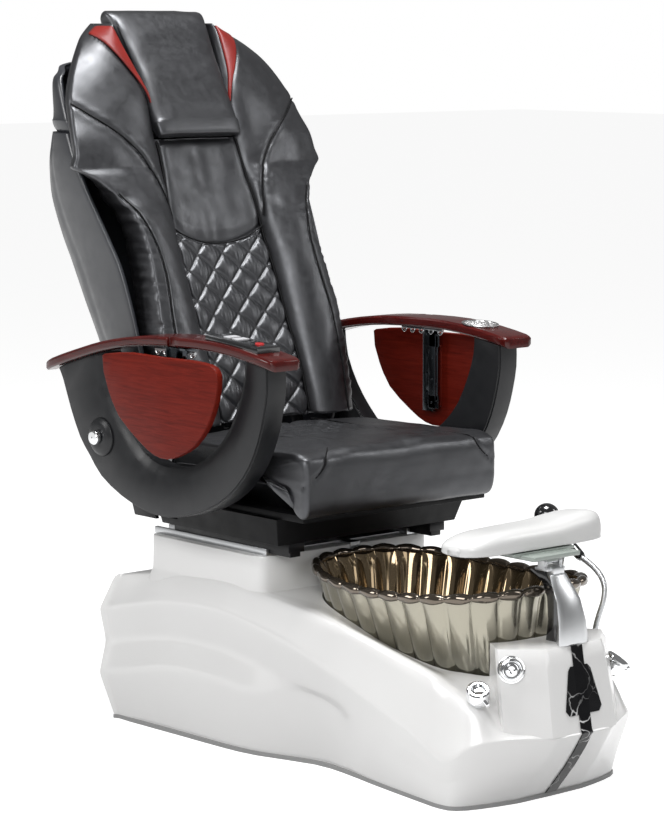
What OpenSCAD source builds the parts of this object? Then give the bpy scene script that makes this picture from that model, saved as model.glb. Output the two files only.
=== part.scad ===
// Pedicure spa chair: a moulded base with a fluted glass foot bowl, a massage seat on rails,
// lifting arms with folding-tray slides and a footrest on a pillar.
// Units are millimetres. The chair faces -Y, +Z is up and the floor is z = 0.

/* [Base] */
// Width of the base at the floor
base_w = 460; // [440:1:500]
// Distance from the seat pivot line's origin to the front-most point of the base
base_front = 632; // [620:1:650]
// Distance from the origin to the rear wall of the base
base_rear = 536; // [530:1:560]
// Wall of the moulded shell
base_wall = 6; // [4:0.5:8]
// Height of the rubber edge strip under the shell
skirting_h = 8; // [6:1:12]
// Top height of the seat plinth
plinth_z = 408; // [404:1:414]
// Width of the seat plinth
plinth_w = 460; // [440:1:470]
// Top height of the tap console at the front
console_z = 304; // [296:1:312]
// Width of the console's flat front face
console_w = 160; // [150:1:170]

/* [Bowl] */
// Width of the bowl across its rim
bowl_w = 404; // [390:1:412]
// Rear end of the bowl's rim, along Y
bowl_rear = 38; // [20:1:42]
// Length of the bowl's rim
bowl_len = 553; // [540:1:556]
// Height of the rim at its lowest point
rim_z = 378; // [370:1:384]
// Height of the bowl's underside above the floor
bowl_bottom = 150; // [140:1:170]
// Thickness of the glass
glass_t = 6; // [5:0.5:8]
// Number of flutes round the bowl
flutes = 30; // [24:2:36]
// Depth of each flute
flute_d = 5; // [3:0.5:6]

/* [Footrest] */
// Height of the pillar's head
pillar_top = 432; // [420:1:440]
// Width of the footrest pad
pad_w = 332; // [300:1:350]
// Depth of the footrest pad
pad_d = 128; // [115:1:135]
// Thickness of the footrest pad
pad_t = 44; // [36:1:50]

/* [Seat] */
// Width of the seat cushion
seat_w = 516; // [500:1:520]
// Rear face of the seat cushion, along +Y
seat_rear = 310; // [305:1:315]
// Depth of the seat cushion
seat_d = 430; // [400:1:440]
// Height of the seat cushion's underside
seat_z = 504; // [500:1:508]
// Thickness of the seat cushion
seat_t = 128; // [110:1:132]
// Height of the skirt's lower edge
skirt_z = 437; // [434:1:440]

/* [Backrest] */
// Half width of the backrest at the shoulders
shoulder_r = 328; // [315:1:335]
// Half width of the backrest between the arms
waist_r = 232; // [225:1:240]
// Top height of the backrest cushions
back_top = 1462; // [1440:1:1475]
// Thickness of the padded layer
cushion_t = 56; // [48:1:60]
// Wall of the moulded back shell
shell_wall = 5; // [4:0.5:7]

/* [Arms] */
// Space between the seat cushion and the arm casing
arm_clear = 26; // [22:1:30]
// Width of the arm casing
arm_wide = 52; // [48:1:56]
// Width of the wooden arm top
top_w = 80; // [70:1:82]
// Thickness of the wooden arm top
top_t = 20; // [18:1:24]
// Radius of the arm pivot cap
cap_r = 40; // [34:1:44]
// Thickness of the wooden tray panel
tray_t = 15; // [12:0.5:16]
// Inner diameter of the cup holder
cup_d = 70; // [66:1:74]

/* [Hidden] */

gap = 0.3;
arm_in = seat_w / 2 + arm_clear;
arm_out = arm_in + arm_wide;
steel_t = 3;

// ---- small helpers -------------------------------------------------------------------

// Both sides of the chair: the right half (x < 0) is the mirror of the left half.
module on_side(side) {
    if (side < 0) mirror([1, 0, 0]) children();
    else children();
}

// A profile drawn as [y, z] points, extruded along X from x0 to x1.
module slab_x(x0, x1, pts) {
    translate([x0, 0, 0])
        rotate([90, 0, 90])
            linear_extrude(x1 - x0) polygon(pts);
}

// A cylinder along X from x0 to x1, centred on [y, z].
module rod_x(x0, x1, y, z, r, n = 48) {
    translate([x0, y, z]) rotate([0, 90, 0]) cylinder(h = x1 - x0, r = r, $fn = n);
}

module rod_y(y0, y1, x, z, r, n = 48) {
    translate([x, y1, z]) rotate([90, 0, 0]) cylinder(h = y1 - y0, r = r, $fn = n);
}

module rod_z(z0, z1, x, y, r, n = 48) {
    translate([x, y, z0]) cylinder(h = z1 - z0, r = r, $fn = n);
}

module box(x0, x1, y0, y1, z0, z1) {
    translate([x0, y0, z0]) cube([x1 - x0, y1 - y0, z1 - z0]);
}

// Catmull-Rom point on a list of points, at position u counted in points.
function cr_idx(i, n) = max(0, min(n - 1, i));
function cr(p, u) =
    let (n = len(p), i = min(floor(u), n - 2), t = u - i,
         a = p[cr_idx(i - 1, n)], b = p[i], c = p[cr_idx(i + 1, n)], d = p[cr_idx(i + 2, n)])
    0.5 * (2 * b + (c - a) * t + (2 * a - 5 * b + 4 * c - d) * t * t
           + (3 * b - a - 3 * c + d) * t * t * t);
function smooth(p, k) = [for (i = [0 : (len(p) - 1) * k]) cr(p, i / k)];

// Straight-line interpolation along a list of points.
function lin(p, u) = let (i = min(floor(u), len(p) - 2), t = u - i) p[i] * (1 - t) + p[i + 1] * t;

// Closed skin over rings of equal length, with flat end caps fanned about their middles.
module skin(rings) {
    n = len(rings[0]);
    m = len(rings);
    mid = function (r) [for (a = [0 : 2]) [for (q = r) q[a]] * [for (q = r) 1] / n];
    pts = concat([for (r = rings) each r], [mid(rings[0]), mid(rings[m - 1])]);
    polyhedron(points = pts, faces = concat(
        [for (j = [0 : m - 2], i = [0 : n - 1])
            let (a = j * n + i, b = j * n + (i + 1) % n) each [[a, b, b + n], [a, b + n, a + n]]],
        [for (i = [0 : n - 1]) [m * n, (i + 1) % n, i]],
        [for (i = [0 : n - 1]) [m * n + 1, (m - 1) * n + i, (m - 1) * n + (i + 1) % n]]));
}

// ---- base: stations run from the front centre round one side to the rear centre -------
// Each rail is a moulded line of the shell: [x, y, z] per station, x >= 0.
hw = base_w / 2;
fy = -base_front;
ry = base_rear;
face_w = console_w / 2 - 18;

rail_floor = [
    [0, fy + 96, 0], [face_w, fy + 97, 0], [95, fy + 99, 0], [165, fy + 114, 0],
    [hw - 20, fy + 134, 0], [hw - 8, fy + 166, 0], [hw - 12, -410, 0], [hw - 32, -250, 0],
    [hw - 47, -150, 0], [hw - 48, -60, 0], [hw - 8, 70, 0], [hw + 3, 160, 0], [hw + 6, 300, 0],
    [hw + 9, 420, 0], [hw + 9, ry - 30, 0], [hw - 7, ry - 14, 0], [0, ry - 12, 0]];
rail_low = [
    [0, fy + 46, 70], [face_w, fy + 47, 70], [93, fy + 54, 70], [164, fy + 84, 70],
    [hw - 20, fy + 117, 62], [hw - 2, fy + 158, 52], [hw + 2, -410, 66], [hw - 2, -250, 112],
    [hw - 16, -150, 142], [hw - 14, -60, 152], [hw + 14, 70, 136], [hw + 22, 160, 147],
    [hw + 27, 300, 148], [hw + 29, 420, 125], [hw + 28, ry - 11, 98], [hw + 10, ry + 13, 98],
    [0, ry + 15, 98]];
rail_waist = [
    [0, fy + 20, 108], [face_w, fy + 21, 108], [92, fy + 32, 108], [163, fy + 66, 110],
    [hw - 18, fy + 104, 96], [hw + 2, fy + 150, 74], [hw + 14, -410, 104],
    [hw + 12, -250, 156], [hw + 4, -150, 164], [hw + 6, -60, 172], [hw + 11, 70, 193],
    [hw + 13, 160, 204], [hw + 14, 300, 203], [hw + 16, 420, 188], [hw + 16, ry - 18, 168],
    [hw + 4, ry - 2, 168], [0, ry, 168]];
rail_belt = [
    [0, fy, 140], [face_w, fy + 1, 140], [92, fy + 14, 141], [162, fy + 54, 142],
    [hw - 16, fy + 94, 128], [hw + 6, fy + 144, 98], [hw + 20, -410, 142],
    [hw + 24, -250, 198], [hw + 26, -150, 232], [hw + 27, -60, 258], [hw + 28, 70, 284],
    [hw + 31, 160, 294], [hw + 33, 300, 287], [hw + 33, 420, 265], [hw + 30, ry - 17, 240],
    [hw + 12, ry + 8, 236], [0, ry + 10, 236]];
rail_ridge = [
    [0, fy + 6, 147], [face_w, fy + 7, 147], [91, fy + 20, 148], [158, fy + 62, 150],
    [186, fy + 104, 188], [hw - 24, -470, 226], [hw - 2, -410, 258], [hw + 16, -250, 300],
    [hw + 20, -150, 315], [hw + 20, -60, 324], [hw + 20, 70, 336], [hw + 20, 160, 344],
    [hw + 19, 300, 338], [hw + 16, 420, 322], [hw + 10, ry - 42, 312],
    [hw - 4, ry - 26, 310], [0, ry - 24, 310]];
rail_deck = [
    [0, fy + 26, 152], [face_w, fy + 27, 152], [86, fy + 34, 153], [146, fy + 72, 156],
    [172, fy + 108, 194], [hw - 42, -466, 230], [hw - 18, -408, 261], [hw, -250, 301],
    [hw + 4, -150, 317], [hw + 4, -60, 326], [hw + 4, 70, 338], [hw + 4, 160, 346],
    [hw + 3, 300, 340], [hw, 420, 324], [hw - 6, ry - 56, 314], [hw - 20, ry - 42, 312],
    [0, ry - 40, 312]];
rail_well = [
    [0, fy + 162, 236], [face_w, fy + 162, 236], [90, fy + 164, 236], [128, fy + 168, 236],
    [146, fy + 180, 238], [158, -430, 241], [163, -380, 246], [168, -250, 274],
    [172, -150, 305], [170, -60, 322], [hw - 20, 70, 337], [hw - 20, 160, 345],
    [hw - 20, 300, 339], [hw - 24, 420, 323], [hw - 30, ry - 76, 313],
    [hw - 44, ry - 62, 312], [0, ry - 60, 312]];
rails = [rail_floor, rail_low, rail_waist, rail_belt, rail_ridge, rail_deck, rail_well];

// A closed ring through a rail and its mirror; grow moves it outwards, lift moves it up.
function side_pt(p, grow, lift) = [
    p[0] < 1 ? 0 : max(0, p[0] + grow),
    p[1] + (p[1] < -380 ? -grow : p[1] > 380 ? grow : 0),
    p[2] + lift];
function half_ring(rail, grow, lift) = [for (p = smooth(rail, 2)) side_pt(p, grow, lift)];
function both_sides(h) = concat(h, [for (i = [len(h) - 2 : -1 : 1]) [-h[i][0], h[i][1], h[i][2]]]);

// Solid over the base's rings, with level strips across its bottom and its deck.
module base_loft(rings) {
    n = len(rings[0]);
    m = len(rings);
    half = n / 2;
    top = (m - 1) * n;
    polyhedron(points = [for (r = rings) each r], faces = concat(
        [for (j = [0 : m - 2], i = [0 : n - 1])
            let (a = j * n + i, b = j * n + (i + 1) % n) each [[a, b + n, b], [a, a + n, b + n]]],
        [[0, 1, n - 1], [half, half + 1, half - 1]],
        [for (i = [1 : half - 2]) each [[i, i + 1, n - i], [i + 1, n - i - 1, n - i]]],
        [[top, top + n - 1, top + 1], [top + half, top + half - 1, top + half + 1]],
        [for (i = [1 : half - 2])
            each [[top + i, top + n - i, top + i + 1],
                  [top + i + 1, top + n - i, top + n - i - 1]]]));
}

function rail_lift(j, w) = j == 0 ? 0 : j < 4 ? -w * 0.3 : -w;
module base_outer() {
    base_loft([for (j = [0 : len(rails) - 1])
        both_sides(half_ring(rails[j], 0, j == 0 ? skirting_h : 0))]);
}
module base_inner(w) {
    base_loft([for (j = [0 : len(rails) - 1])
        both_sides(half_ring(rails[j], -w, j == 0 ? -1 : rail_lift(j, w)))]);
}

// Console at the front that carries the taps and the footrest pillar.
console_cw = console_w / 2;
function console_ring(z, grow) =
    let (t = (console_z - z) / 164, s = 12 * t, f = fy + 32 - 30 * t - grow, w = grow)
    [[console_cw - 9 + w, f, z], [console_cw + s * 0.7 + w, f + 6, z],
     [console_cw + 64 + s * 0.7 + w, f + 63, z], [console_cw + 70 + s * 0.7 + w, f + 85, z],
     [console_cw + 52 + w, f + 170 + 2 * w, z], [-console_cw - 52 - w, f + 170 + 2 * w, z],
     [-console_cw - 70 - s * 0.7 - w, f + 85, z], [-console_cw - 64 - s * 0.7 - w, f + 63, z],
     [-console_cw - s * 0.7 - w, f + 6, z], [-console_cw + 9 - w, f, z]];
module console(grow, z0, z1) {
    skin([console_ring(z1, grow), console_ring(z0, grow)]);
}

// Plinth under the seat rails.
plinth_y0 = 48;
plinth_y1 = 420;
plinth_r = 14;
module plinth(w, z0, z1) {
    translate([0, 0, z0])
        linear_extrude(z1 - z0)
            offset(r = plinth_r - w, $fn = 32)
                translate([-plinth_w / 2 + plinth_r, plinth_y0 + plinth_r])
                    square([plinth_w - 2 * plinth_r, plinth_y1 - plinth_y0 - 2 * plinth_r]);
}

// ---- bowl ----------------------------------------------------------------------------
bowl_mid = bowl_rear - bowl_len * 0.55;
bowl_front = bowl_rear - bowl_len;
rim_bead = 5;
seg = 4;
bowl_n = flutes * seg;

// Plan of the bowl: a rounded shield, [x, y] for the angle a measured from the rear.
function pow_sin(v, e) = sign(v) * pow(abs(v), e);
function bowl_xy(a) =
    let (c = cos(a), s = sin(a))
    [bowl_w / 2 * pow_sin(s, 0.62) * (c > 0 ? 1 - 0.13 * c * c : 1 - 0.06 * c * c),
     c > 0 ? bowl_mid + (bowl_rear - bowl_mid) * pow_sin(c, 0.72)
           : bowl_mid + (bowl_mid - bowl_front) * pow_sin(c, 0.66)];
function rim_h(y) =
    let (t = (y - bowl_front) / bowl_len)
    rim_z + 20 * pow(abs(t - 0.52) / 0.52, 1.6);
// How far the wall has drawn in at a depth d below the rim: [across, along].
bowl_deep = rim_z - bowl_bottom;
function draw_in(d) =
    let (t = max(0, d) / bowl_deep) [1 - 0.36 * t - 0.10 * pow(t, 5), 1 - 0.14 * t - 0.10 * pow(t, 5)];
function bowl_pt(a, d, grow, floor_z) =
    let (q = bowl_xy(a), k = draw_in(d), flute = -flute_d * pow(abs(cos(a * flutes / 2)), 3),
         x = q[0] * k[0], y = bowl_mid + (q[1] - bowl_mid) * k[1],
         l = norm([x, y - bowl_mid]), g = (l + grow + flute) / l)
    [x * g, bowl_mid + (y - bowl_mid) * g, max(floor_z, rim_h(q[1]) - d)];
function bowl_ring(d, grow, floor_z) =
    [for (i = [0 : bowl_n - 1]) bowl_pt((i + 0.5) * 360 / bowl_n, d, grow, floor_z)];
function flat_ring(k, z, grow) =
    [for (i = [0 : bowl_n - 1])
        let (p = bowl_pt((i + 0.5) * 360 / bowl_n, bowl_deep, grow, z))
        [p[0] * k, bowl_mid + (p[1] - bowl_mid) * k, z]];
bowl_depths = [0, 30, 75, 125, 175, 210];

module bowl_body(grow, top_d, floor_z) {
    skin(concat(
        [flat_ring(0.5, floor_z, grow), flat_ring(0.93, floor_z, grow)],
        [for (i = [len(bowl_depths) - 1 : -1 : 1]) bowl_ring(bowl_depths[i], grow, floor_z + 2)],
        [bowl_ring(top_d, grow, floor_z + 2)]));
}

// ---- base modules --------------------------------------------------------------------
tap_hole_r = 11;
drain_y = bowl_mid + 40;
drain_r = 22;
jet_z = 236;
jet_r = 30;
fit = 1;

module base_shell() {
    color("whitesmoke")
    difference() {
        union() {
            base_outer();
            console(0, 142, console_z);
            plinth(0, 300, plinth_z);
        }
        base_inner(base_wall);
        console(-base_wall, 146, console_z - base_wall);
        plinth(base_wall, 290, plinth_z - base_wall);
        bowl_body(fit, -120, bowl_bottom - 40);
        on_console(-1, 0, 0) cylinder(h = 60, r = tap_hole_r, center = true, $fn = 32);
        for (s = [-1, 1]) on_ledge(s) {
            cylinder(h = 60, r = tap_hole_r, center = true, $fn = 32);
            translate([0, 0, -gap]) cylinder(h = 30, r = 15.5, $fn = 32);
        }
        rod_z(180, 400, ferrule_x, ferrule_y, ferrule_r + 0.2, 32);
        rod_z(ferrule_z - gap, 300, ferrule_x, ferrule_y, 14.5, 32);
        rod_z(holder_foot[2] - gap, 320, holder_foot[0] + 12, holder_foot[1], 13.5, 32);
    }
}

function flat(rail, grow) = [for (p = both_sides(half_ring(rail, grow, 0))) [p[0], p[1]]];
module base_skirting() {
    color("dimgray")
    linear_extrude(skirting_h)
        difference() {
            polygon(flat(rail_floor, 1.5));
            polygon(flat(rail_floor, -14));
        }
}

// Stone-look inlay down the front: a narrow strip, a shield and a strip that folds under.
inlay_t = 2;
inlay_strip = 14;
inlay_shield_top = 27;
inlay_shield_bot = 47;
shield_z1 = 266;
shield_z0 = 178;
bumper_z = 140;
module marble_inlay() {
    up = console_z - bumper_z;
    lean = 30;
    k = norm([up, lean]) / up;
    line = [[fy + 31.7, console_z], [fy + 3, 147], [fy - 0.7, 141], [fy + 19.3, 107.6],
            [fy + 45.3, 69.6], [fy + 95.3, skirting_h + gap]];
    color([0.05, 0.05, 0.06])
    union() {
        translate([0, fy + 1.7, bumper_z]) rotate([90 - atan2(lean, up), 0, 0])
            linear_extrude(inlay_t)
                polygon([
                    [inlay_shield_bot - 8, (shield_z0 - bumper_z) * k - 2],
                    [inlay_shield_bot, (shield_z0 - bumper_z) * k + 8],
                    [inlay_shield_top + 2, (shield_z1 - bumper_z) * k - 8],
                    [inlay_shield_top - 5, (shield_z1 - bumper_z) * k],
                    [-inlay_shield_top + 5, (shield_z1 - bumper_z) * k],
                    [-inlay_shield_top - 2, (shield_z1 - bumper_z) * k - 8],
                    [-inlay_shield_bot, (shield_z0 - bumper_z) * k + 8],
                    [-inlay_shield_bot + 8, (shield_z0 - bumper_z) * k - 2]]);
        slab_x(-inlay_strip, inlay_strip,
               concat(line, [for (i = [len(line) - 1 : -1 : 0]) line[i] - [inlay_t + 0.2, 0]]));
    }
}

// Welded tube frame inside the shell: runners, bowl cradle and plinth posts.
tube = 30;
frame_x = 140;
frame_z = 26;
frame_y0 = -400;
frame_y1 = 430;
module base_frame() {
    color("silver")
    union() {
        for (s = [-1, 1]) {
            translate([s * frame_x - tube / 2, frame_y0, frame_z])
                cube([tube, frame_y1 - frame_y0, tube]);
            for (y = [plinth_y0 + 40, plinth_y1 - 70])
                translate([s * frame_x - tube / 2, y, frame_z])
                    cube([tube, tube, plinth_z - base_wall - gap - frame_z]);
            for (y = [bowl_mid - 110, bowl_mid + 110])
                translate([s * frame_x - tube / 2, y, frame_z])
                    cube([tube, tube, bowl_bottom - gap - frame_z]);
        }
        for (y = [frame_y0, frame_y1 - tube])
            translate([-frame_x, y, frame_z]) cube([2 * frame_x, tube, tube]);
        for (y = [bowl_mid - 110, bowl_mid + 110])
            translate([-frame_x, y, bowl_bottom - gap - tube]) cube([2 * frame_x, tube, tube]);
    }
}

foot_r = 20;
module levelling_feet() {
    color("black")
    for (s = [-1, 1], y = [frame_y0 + 40, 0, frame_y1 - 50]) {
        rod_z(0, 10, s * frame_x, y, foot_r, 32);
        rod_z(10, frame_z, s * frame_x, y, 5, 24);
    }
}

module bowl() {
    color([0.55, 0.5, 0.4, 0.6])
    difference() {
        bowl_body(0, 0, bowl_bottom);
        bowl_body(-glass_t, -8, bowl_bottom + glass_t);
        rod_z(bowl_bottom - 5, bowl_bottom + 30, 0, drain_y, drain_r + 0.2);
        rod_y(-100, 100, 0, jet_z, jet_r + 0.2);
    }
}

module drain_fitting() {
    z = bowl_bottom + glass_t;
    color("silver")
    difference() {
        union() {
            rod_z(z + gap, z + 4, 0, drain_y, 32);
            rod_z(z - 70, z + gap, 0, drain_y, drain_r);
        }
        rod_z(z - 71, z + 1, 0, drain_y, drain_r - 3);
        for (a = [0 : 60 : 300])
            rod_z(z - 2, z + 5, 12 * cos(a), drain_y + 12 * sin(a), 3.2, 16);
        rod_z(z - 2, z + 5, 0, drain_y, 3.2, 16);
    }
}

// Pipeless jet through the bowl's rear wall: motor outside, rotor and cap inside.
jet_wall = bowl_mid + (bowl_rear - bowl_mid) * 0.875;
jet_seat = jet_wall - 26;
cap_y0 = jet_seat - 22;
module jet_housing() {
    color("gainsboro")
    difference() {
        union() {
            rod_y(cap_y0, jet_seat, 0, jet_z, 40);
            rod_y(jet_seat, jet_wall + 22, 0, jet_z, jet_r);
            rod_y(jet_wall + 22, jet_wall + 90, 0, jet_z, 38);
        }
        rod_y(cap_y0 + 3, jet_seat - 2, 0, jet_z, 36);
        rod_y(cap_y0 - 1, cap_y0 + 4, 0, jet_z, 9);
        for (a = [0 : 45 : 315])
            rod_y(cap_y0 - 1, cap_y0 + 4, 24 * cos(a), jet_z + 24 * sin(a), 6, 16);
    }
}
module jet_impeller() {
    y0 = cap_y0 + 5;
    y1 = jet_seat - 2 - gap;
    color("white")
    union() {
        rod_y(y0, y1, 0, jet_z, 8);
        for (a = [0 : 60 : 300])
            translate([0, y1, jet_z]) rotate([90, a, 0])
                translate([6, -1.5, 0]) cube([26, 3, y1 - y0]);
    }
}

// ---- footrest ------------------------------------------------------------------------
// Pillar lines up its height: [z, back y, front y, back half width, front half width].
pillar_lines = [
    [console_z, -561, -600, 14, 40], [console_z + 41, -566, -596, 14, 37],
    [console_z + 82, -563, -585, 14, 32], [console_z + 108, -551, -568, 15, 27],
    [pillar_top, -537, -556, 16, 22]];
stem_y = -546;
stem_r = 6;
module stem_hole() {
    rod_z(pillar_top - 100, pillar_top + 40, 0, stem_y, stem_r + 0.05, 48);
}
module footrest_pillar() {
    color("silver")
    difference() {
        skin([for (i = [len(pillar_lines) - 1 : -1 : 0])
            let (p = pillar_lines[i])
            [[p[4] * 0.6, p[2], p[0]], [p[4], p[2] + 5, p[0]], [p[3], p[1], p[0]],
             [-p[3], p[1], p[0]], [-p[4], p[2] + 5, p[0]], [-p[4] * 0.6, p[2], p[0]]]]);
        stem_hole();
    }
}
insert_d = 28;
module pillar_insert() {
    color("black")
    difference() {
        slab_x(-12, 12, concat(
            [for (p = pillar_lines) [p[1] + gap, p[0]]],
            [[-522, pillar_top + 4], [-500, pillar_top + 6], [-488, pillar_top + 2]],
            [for (i = [len(pillar_lines) - 2 : -1 : 0])
                [pillar_lines[i][1] + insert_d, pillar_lines[i][0]]]));
        stem_hole();
    }
}

head_y = -530;
hinge_z = pillar_top + 22;
hinge_r = 5;
ear_w = 8;
module footrest_head() {
    color("gray")
    union() {
        box(-14, 14, head_y - 24, head_y - 6, pillar_top + gap, pillar_top + 12);
        box(-24, 24, head_y - 16, head_y + 16, pillar_top + 6 + gap, pillar_top + 12);
        rod_z(pillar_top - 92, pillar_top + 1, 0, stem_y, stem_r);
        for (s = [-1, 1]) {
            x0 = s < 0 ? -24 : 24 - ear_w;
            box(x0, x0 + ear_w, head_y - 9, head_y + 9, pillar_top + 11, hinge_z);
            rod_x(x0, x0 + ear_w, head_y, hinge_z, 9, 32);
        }
        rod_x(-24, 24, head_y, hinge_z, hinge_r, 48);
    }
}

pad_z = hinge_z + 18;
pad_y1 = head_y + 24 + pad_d;
pad_mid = pad_y1 - pad_d / 2;
knuckle = 24 - ear_w - gap;
pad_ends = [-1, -0.997, -0.985, -0.96, -0.92, -0.86, -0.77, -0.65, -0.5, -0.3, -0.1, 0.1, 0.3, 0.5,
            0.65, 0.77, 0.86, 0.92, 0.96, 0.985, 0.997, 1];
function pad_ring(t) =
    let (e = pow(max(0.02, 1 - pow(abs(t), 5)), 0.32), half = pad_d / 2 * (0.8 + 0.2 * t * t) * e,
         crown = (pad_t + 5) * (0.96 + 0.04 * cos(180 * t)) * (0.45 + 0.55 * e))
    [for (a = [0 : 15 : 345])
        let (c = pow_sin(cos(a), 0.62), q = sin(a), thick = crown * (0.7 + 0.3 * c))
        [pad_w / 2 * t, pad_mid - half * c,
         pad_z + 7 + (q > 0 ? (thick - 9) * pow(q, 0.75) : 9 * pow_sin(q, 0.35))]];
module footrest_pad() {
    color("ivory")
    difference() {
        union() {
            skin([for (t = pad_ends) pad_ring(t)]);
            box(-62, 62, head_y - 16, head_y + 92, pad_z - 8, pad_z - 1);
            rod_x(-knuckle, knuckle, head_y, hinge_z, 9, 32);
            box(-knuckle, knuckle, head_y - 8, head_y + 8, hinge_z, pad_z - 2);
        }
        rod_x(-knuckle - 1, knuckle + 1, head_y, hinge_z, hinge_r + 0.05, 48);
    }
}

// ---- taps on the console -------------------------------------------------------------
// Frame on the console's slanted side face; along moves towards the bowl.
face_turn = 41.7;
face_tilt = 80.3;
knob_z = 268;
module on_console(side, along, up) {
    t = (console_z - knob_z - up) / 164;
    translate([side * (console_cw + 32 + 8.4 * t + (along + 20) * 0.747),
               fy + 66.5 - 30 * t + (along + 20) * 0.665, knob_z + up])
        rotate([0, 0, side * face_turn]) rotate([face_tilt, 0, 0]) children();
}
// Frame on the sloping ledge beside the console, for the mixer and the diverter.
ledge_x = 171;
ledge_y = -514;
ledge_z = 203;
collar_h = 12;
module on_ledge(side) {
    translate([side * ledge_x, ledge_y, ledge_z])
        rotate([0, 0, side * 42]) rotate([34, 0, 0]) children();
}

module regulator_plate() {
    color("lightgray")
    on_console(-1, 0, 0)
        difference() {
            translate([0, 0, gap]) cylinder(h = 3, r = 26, $fn = 64);
            translate([0, 0, -1]) cylinder(h = 6, r = 10.3, $fn = 48);
        }
}
module regulator_knob() {
    color("silver")
    on_console(-1, 0, 0)
        rotate_extrude($fn = 64)
            polygon([[0, -22], [8, -22], [8, 0], [10, 0], [10, 3 + 2 * gap], [22, 3 + 2 * gap],
                     [23, 6], [21, 11], [18, 12], [16, 9], [12, 9], [10, 14], [7, 16], [0, 14]]);
}

module mixer_body() {
    color("silver")
    on_ledge(-1)
        union() {
            cylinder(h = collar_h, r = 15, $fn = 48);
            translate([0, 0, -40]) cylinder(h = 41, r = 9, $fn = 32);
        }
}
mixer_r = 22;
module mixer_knob() {
    color("silver")
    on_ledge(-1)
        union() {
            translate([0, 0, collar_h + gap])
                rotate_extrude($fn = 64)
                    polygon([[0, 0], [mixer_r - 2, 0], [mixer_r, 3], [mixer_r, 24],
                             [mixer_r - 3, 27], [13, 27], [11, 20], [0, 20]]);
            translate([0, 0, collar_h + gap + 14]) rotate([0, 90, -60])
                cylinder(h = 36, r = 4, $fn = 32);
        }
}
module diverter_body() {
    color("silver")
    on_ledge(1)
        union() {
            cylinder(h = collar_h, r = 15, $fn = 48);
            translate([0, 0, collar_h]) cylinder(h = 26 - collar_h, r = 11, $fn = 48);
            translate([0, 0, -40]) cylinder(h = 41, r = 9, $fn = 32);
        }
}
module diverter_lever() {
    color("silver")
    on_ledge(1)
        union() {
            translate([0, 0, 26 + gap])
                rotate_extrude($fn = 64)
                    polygon([[0, 0], [13, 0], [14, 8], [23, 14], [24, 17], [22, 20], [0, 23]]);
            translate([0, 0, 26 + gap + 5]) rotate([0, 90, -38]) cylinder(h = 44, r = 3.5, $fn = 32);
            translate([0, 0, 26 + gap + 5]) rotate([0, 90, -38]) translate([0, 0, 42])
                cylinder(h = 8, r = 5, $fn = 32);
        }
}

// ---- hand shower ---------------------------------------------------------------------
ferrule_x = 186;
ferrule_y = -470;
ferrule_r = 11;
ferrule_z = 232;
module hose_ferrule() {
    color("silver")
    union() {
        rod_z(ferrule_z, ferrule_z + 16, ferrule_x, ferrule_y, 14, 32);
        rod_z(ferrule_z - 40, ferrule_z + 1, ferrule_x, ferrule_y, ferrule_r - 1, 32);
        rod_z(ferrule_z + 16, ferrule_z + 38, ferrule_x, ferrule_y, 9, 32);
    }
}
// The hand shower leans over the far rim of the bowl: its handle runs from the hose's end
// up and back to the spray head.
handle_a = [228, -392, 414];
handle_b = [240, -290, 470];
module along(a, b) {
    d = b - a;
    translate(a) rotate([0, acos(d[2] / norm(d)), atan2(d[1], d[0])]) children();
}
module hand_shower() {
    color([0.08, 0.08, 0.08])
    union() {
        along(handle_a, handle_b)
            rotate_extrude($fn = 40)
                polygon([[0, 0], [8, 0], [10, 6], [11, 30], [10, 70], [9, norm(handle_b - handle_a)],
                         [0, norm(handle_b - handle_a)]]);
        translate(handle_b + [0, 8, 12]) sphere(r = 26, $fn = 40);
    }
}
holder_foot = [204, -330, 277];
module shower_holder() {
    foot = holder_foot + [12, 0, 20];
    top = [234, -340, 420];
    color("silver")
    union() {
        rod_z(holder_foot[2], holder_foot[2] + 26, foot[0], foot[1], 13, 32);
        along(foot, top) cylinder(h = norm(top - foot), r1 = 6.5, r2 = 4.5, $fn = 32);
        along(handle_a + (handle_b - handle_a) * 0.35, handle_b)
            linear_extrude(16)
                difference() {
                    union() {
                        circle(r = 15, $fn = 40);
                        translate([13, -7]) square([13, 14]);
                    }
                    circle(r = 11.3, $fn = 40);
                }
    }
}

// Flexible hose from the ferrule to the handle.
hose_r = 6;
hose_pts = [
    [186, -470, 270], [186, -471, 284], [187, -473, 298], [189, -476, 312], [192, -479, 326],
    [196, -481, 340], [201, -480, 354], [207, -475, 367], [213, -465, 379], [218, -452, 389],
    [222, -438, 396], [225, -424, 402], [227, -408, 408], [228, -392, 414]];
function unit(v) = v / norm(v);
module tube(pts, r, n) {
    m = len(pts);
    dirs = [for (i = [0 : m - 1]) unit(pts[min(i + 1, m - 1)] - pts[max(i - 1, 0)])];
    skin([for (i = [m - 1 : -1 : 0])
        let (u = unit(cross(dirs[i], [0.37, 0.91, -0.18])), v = cross(dirs[i], u))
        [for (k = [0 : n - 1]) pts[i] + r * (u * cos(k * 360 / n) + v * sin(k * 360 / n))]]);
}
module shower_hose() {
    color("silver") tube(hose_pts, hose_r, 10);
}

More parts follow.
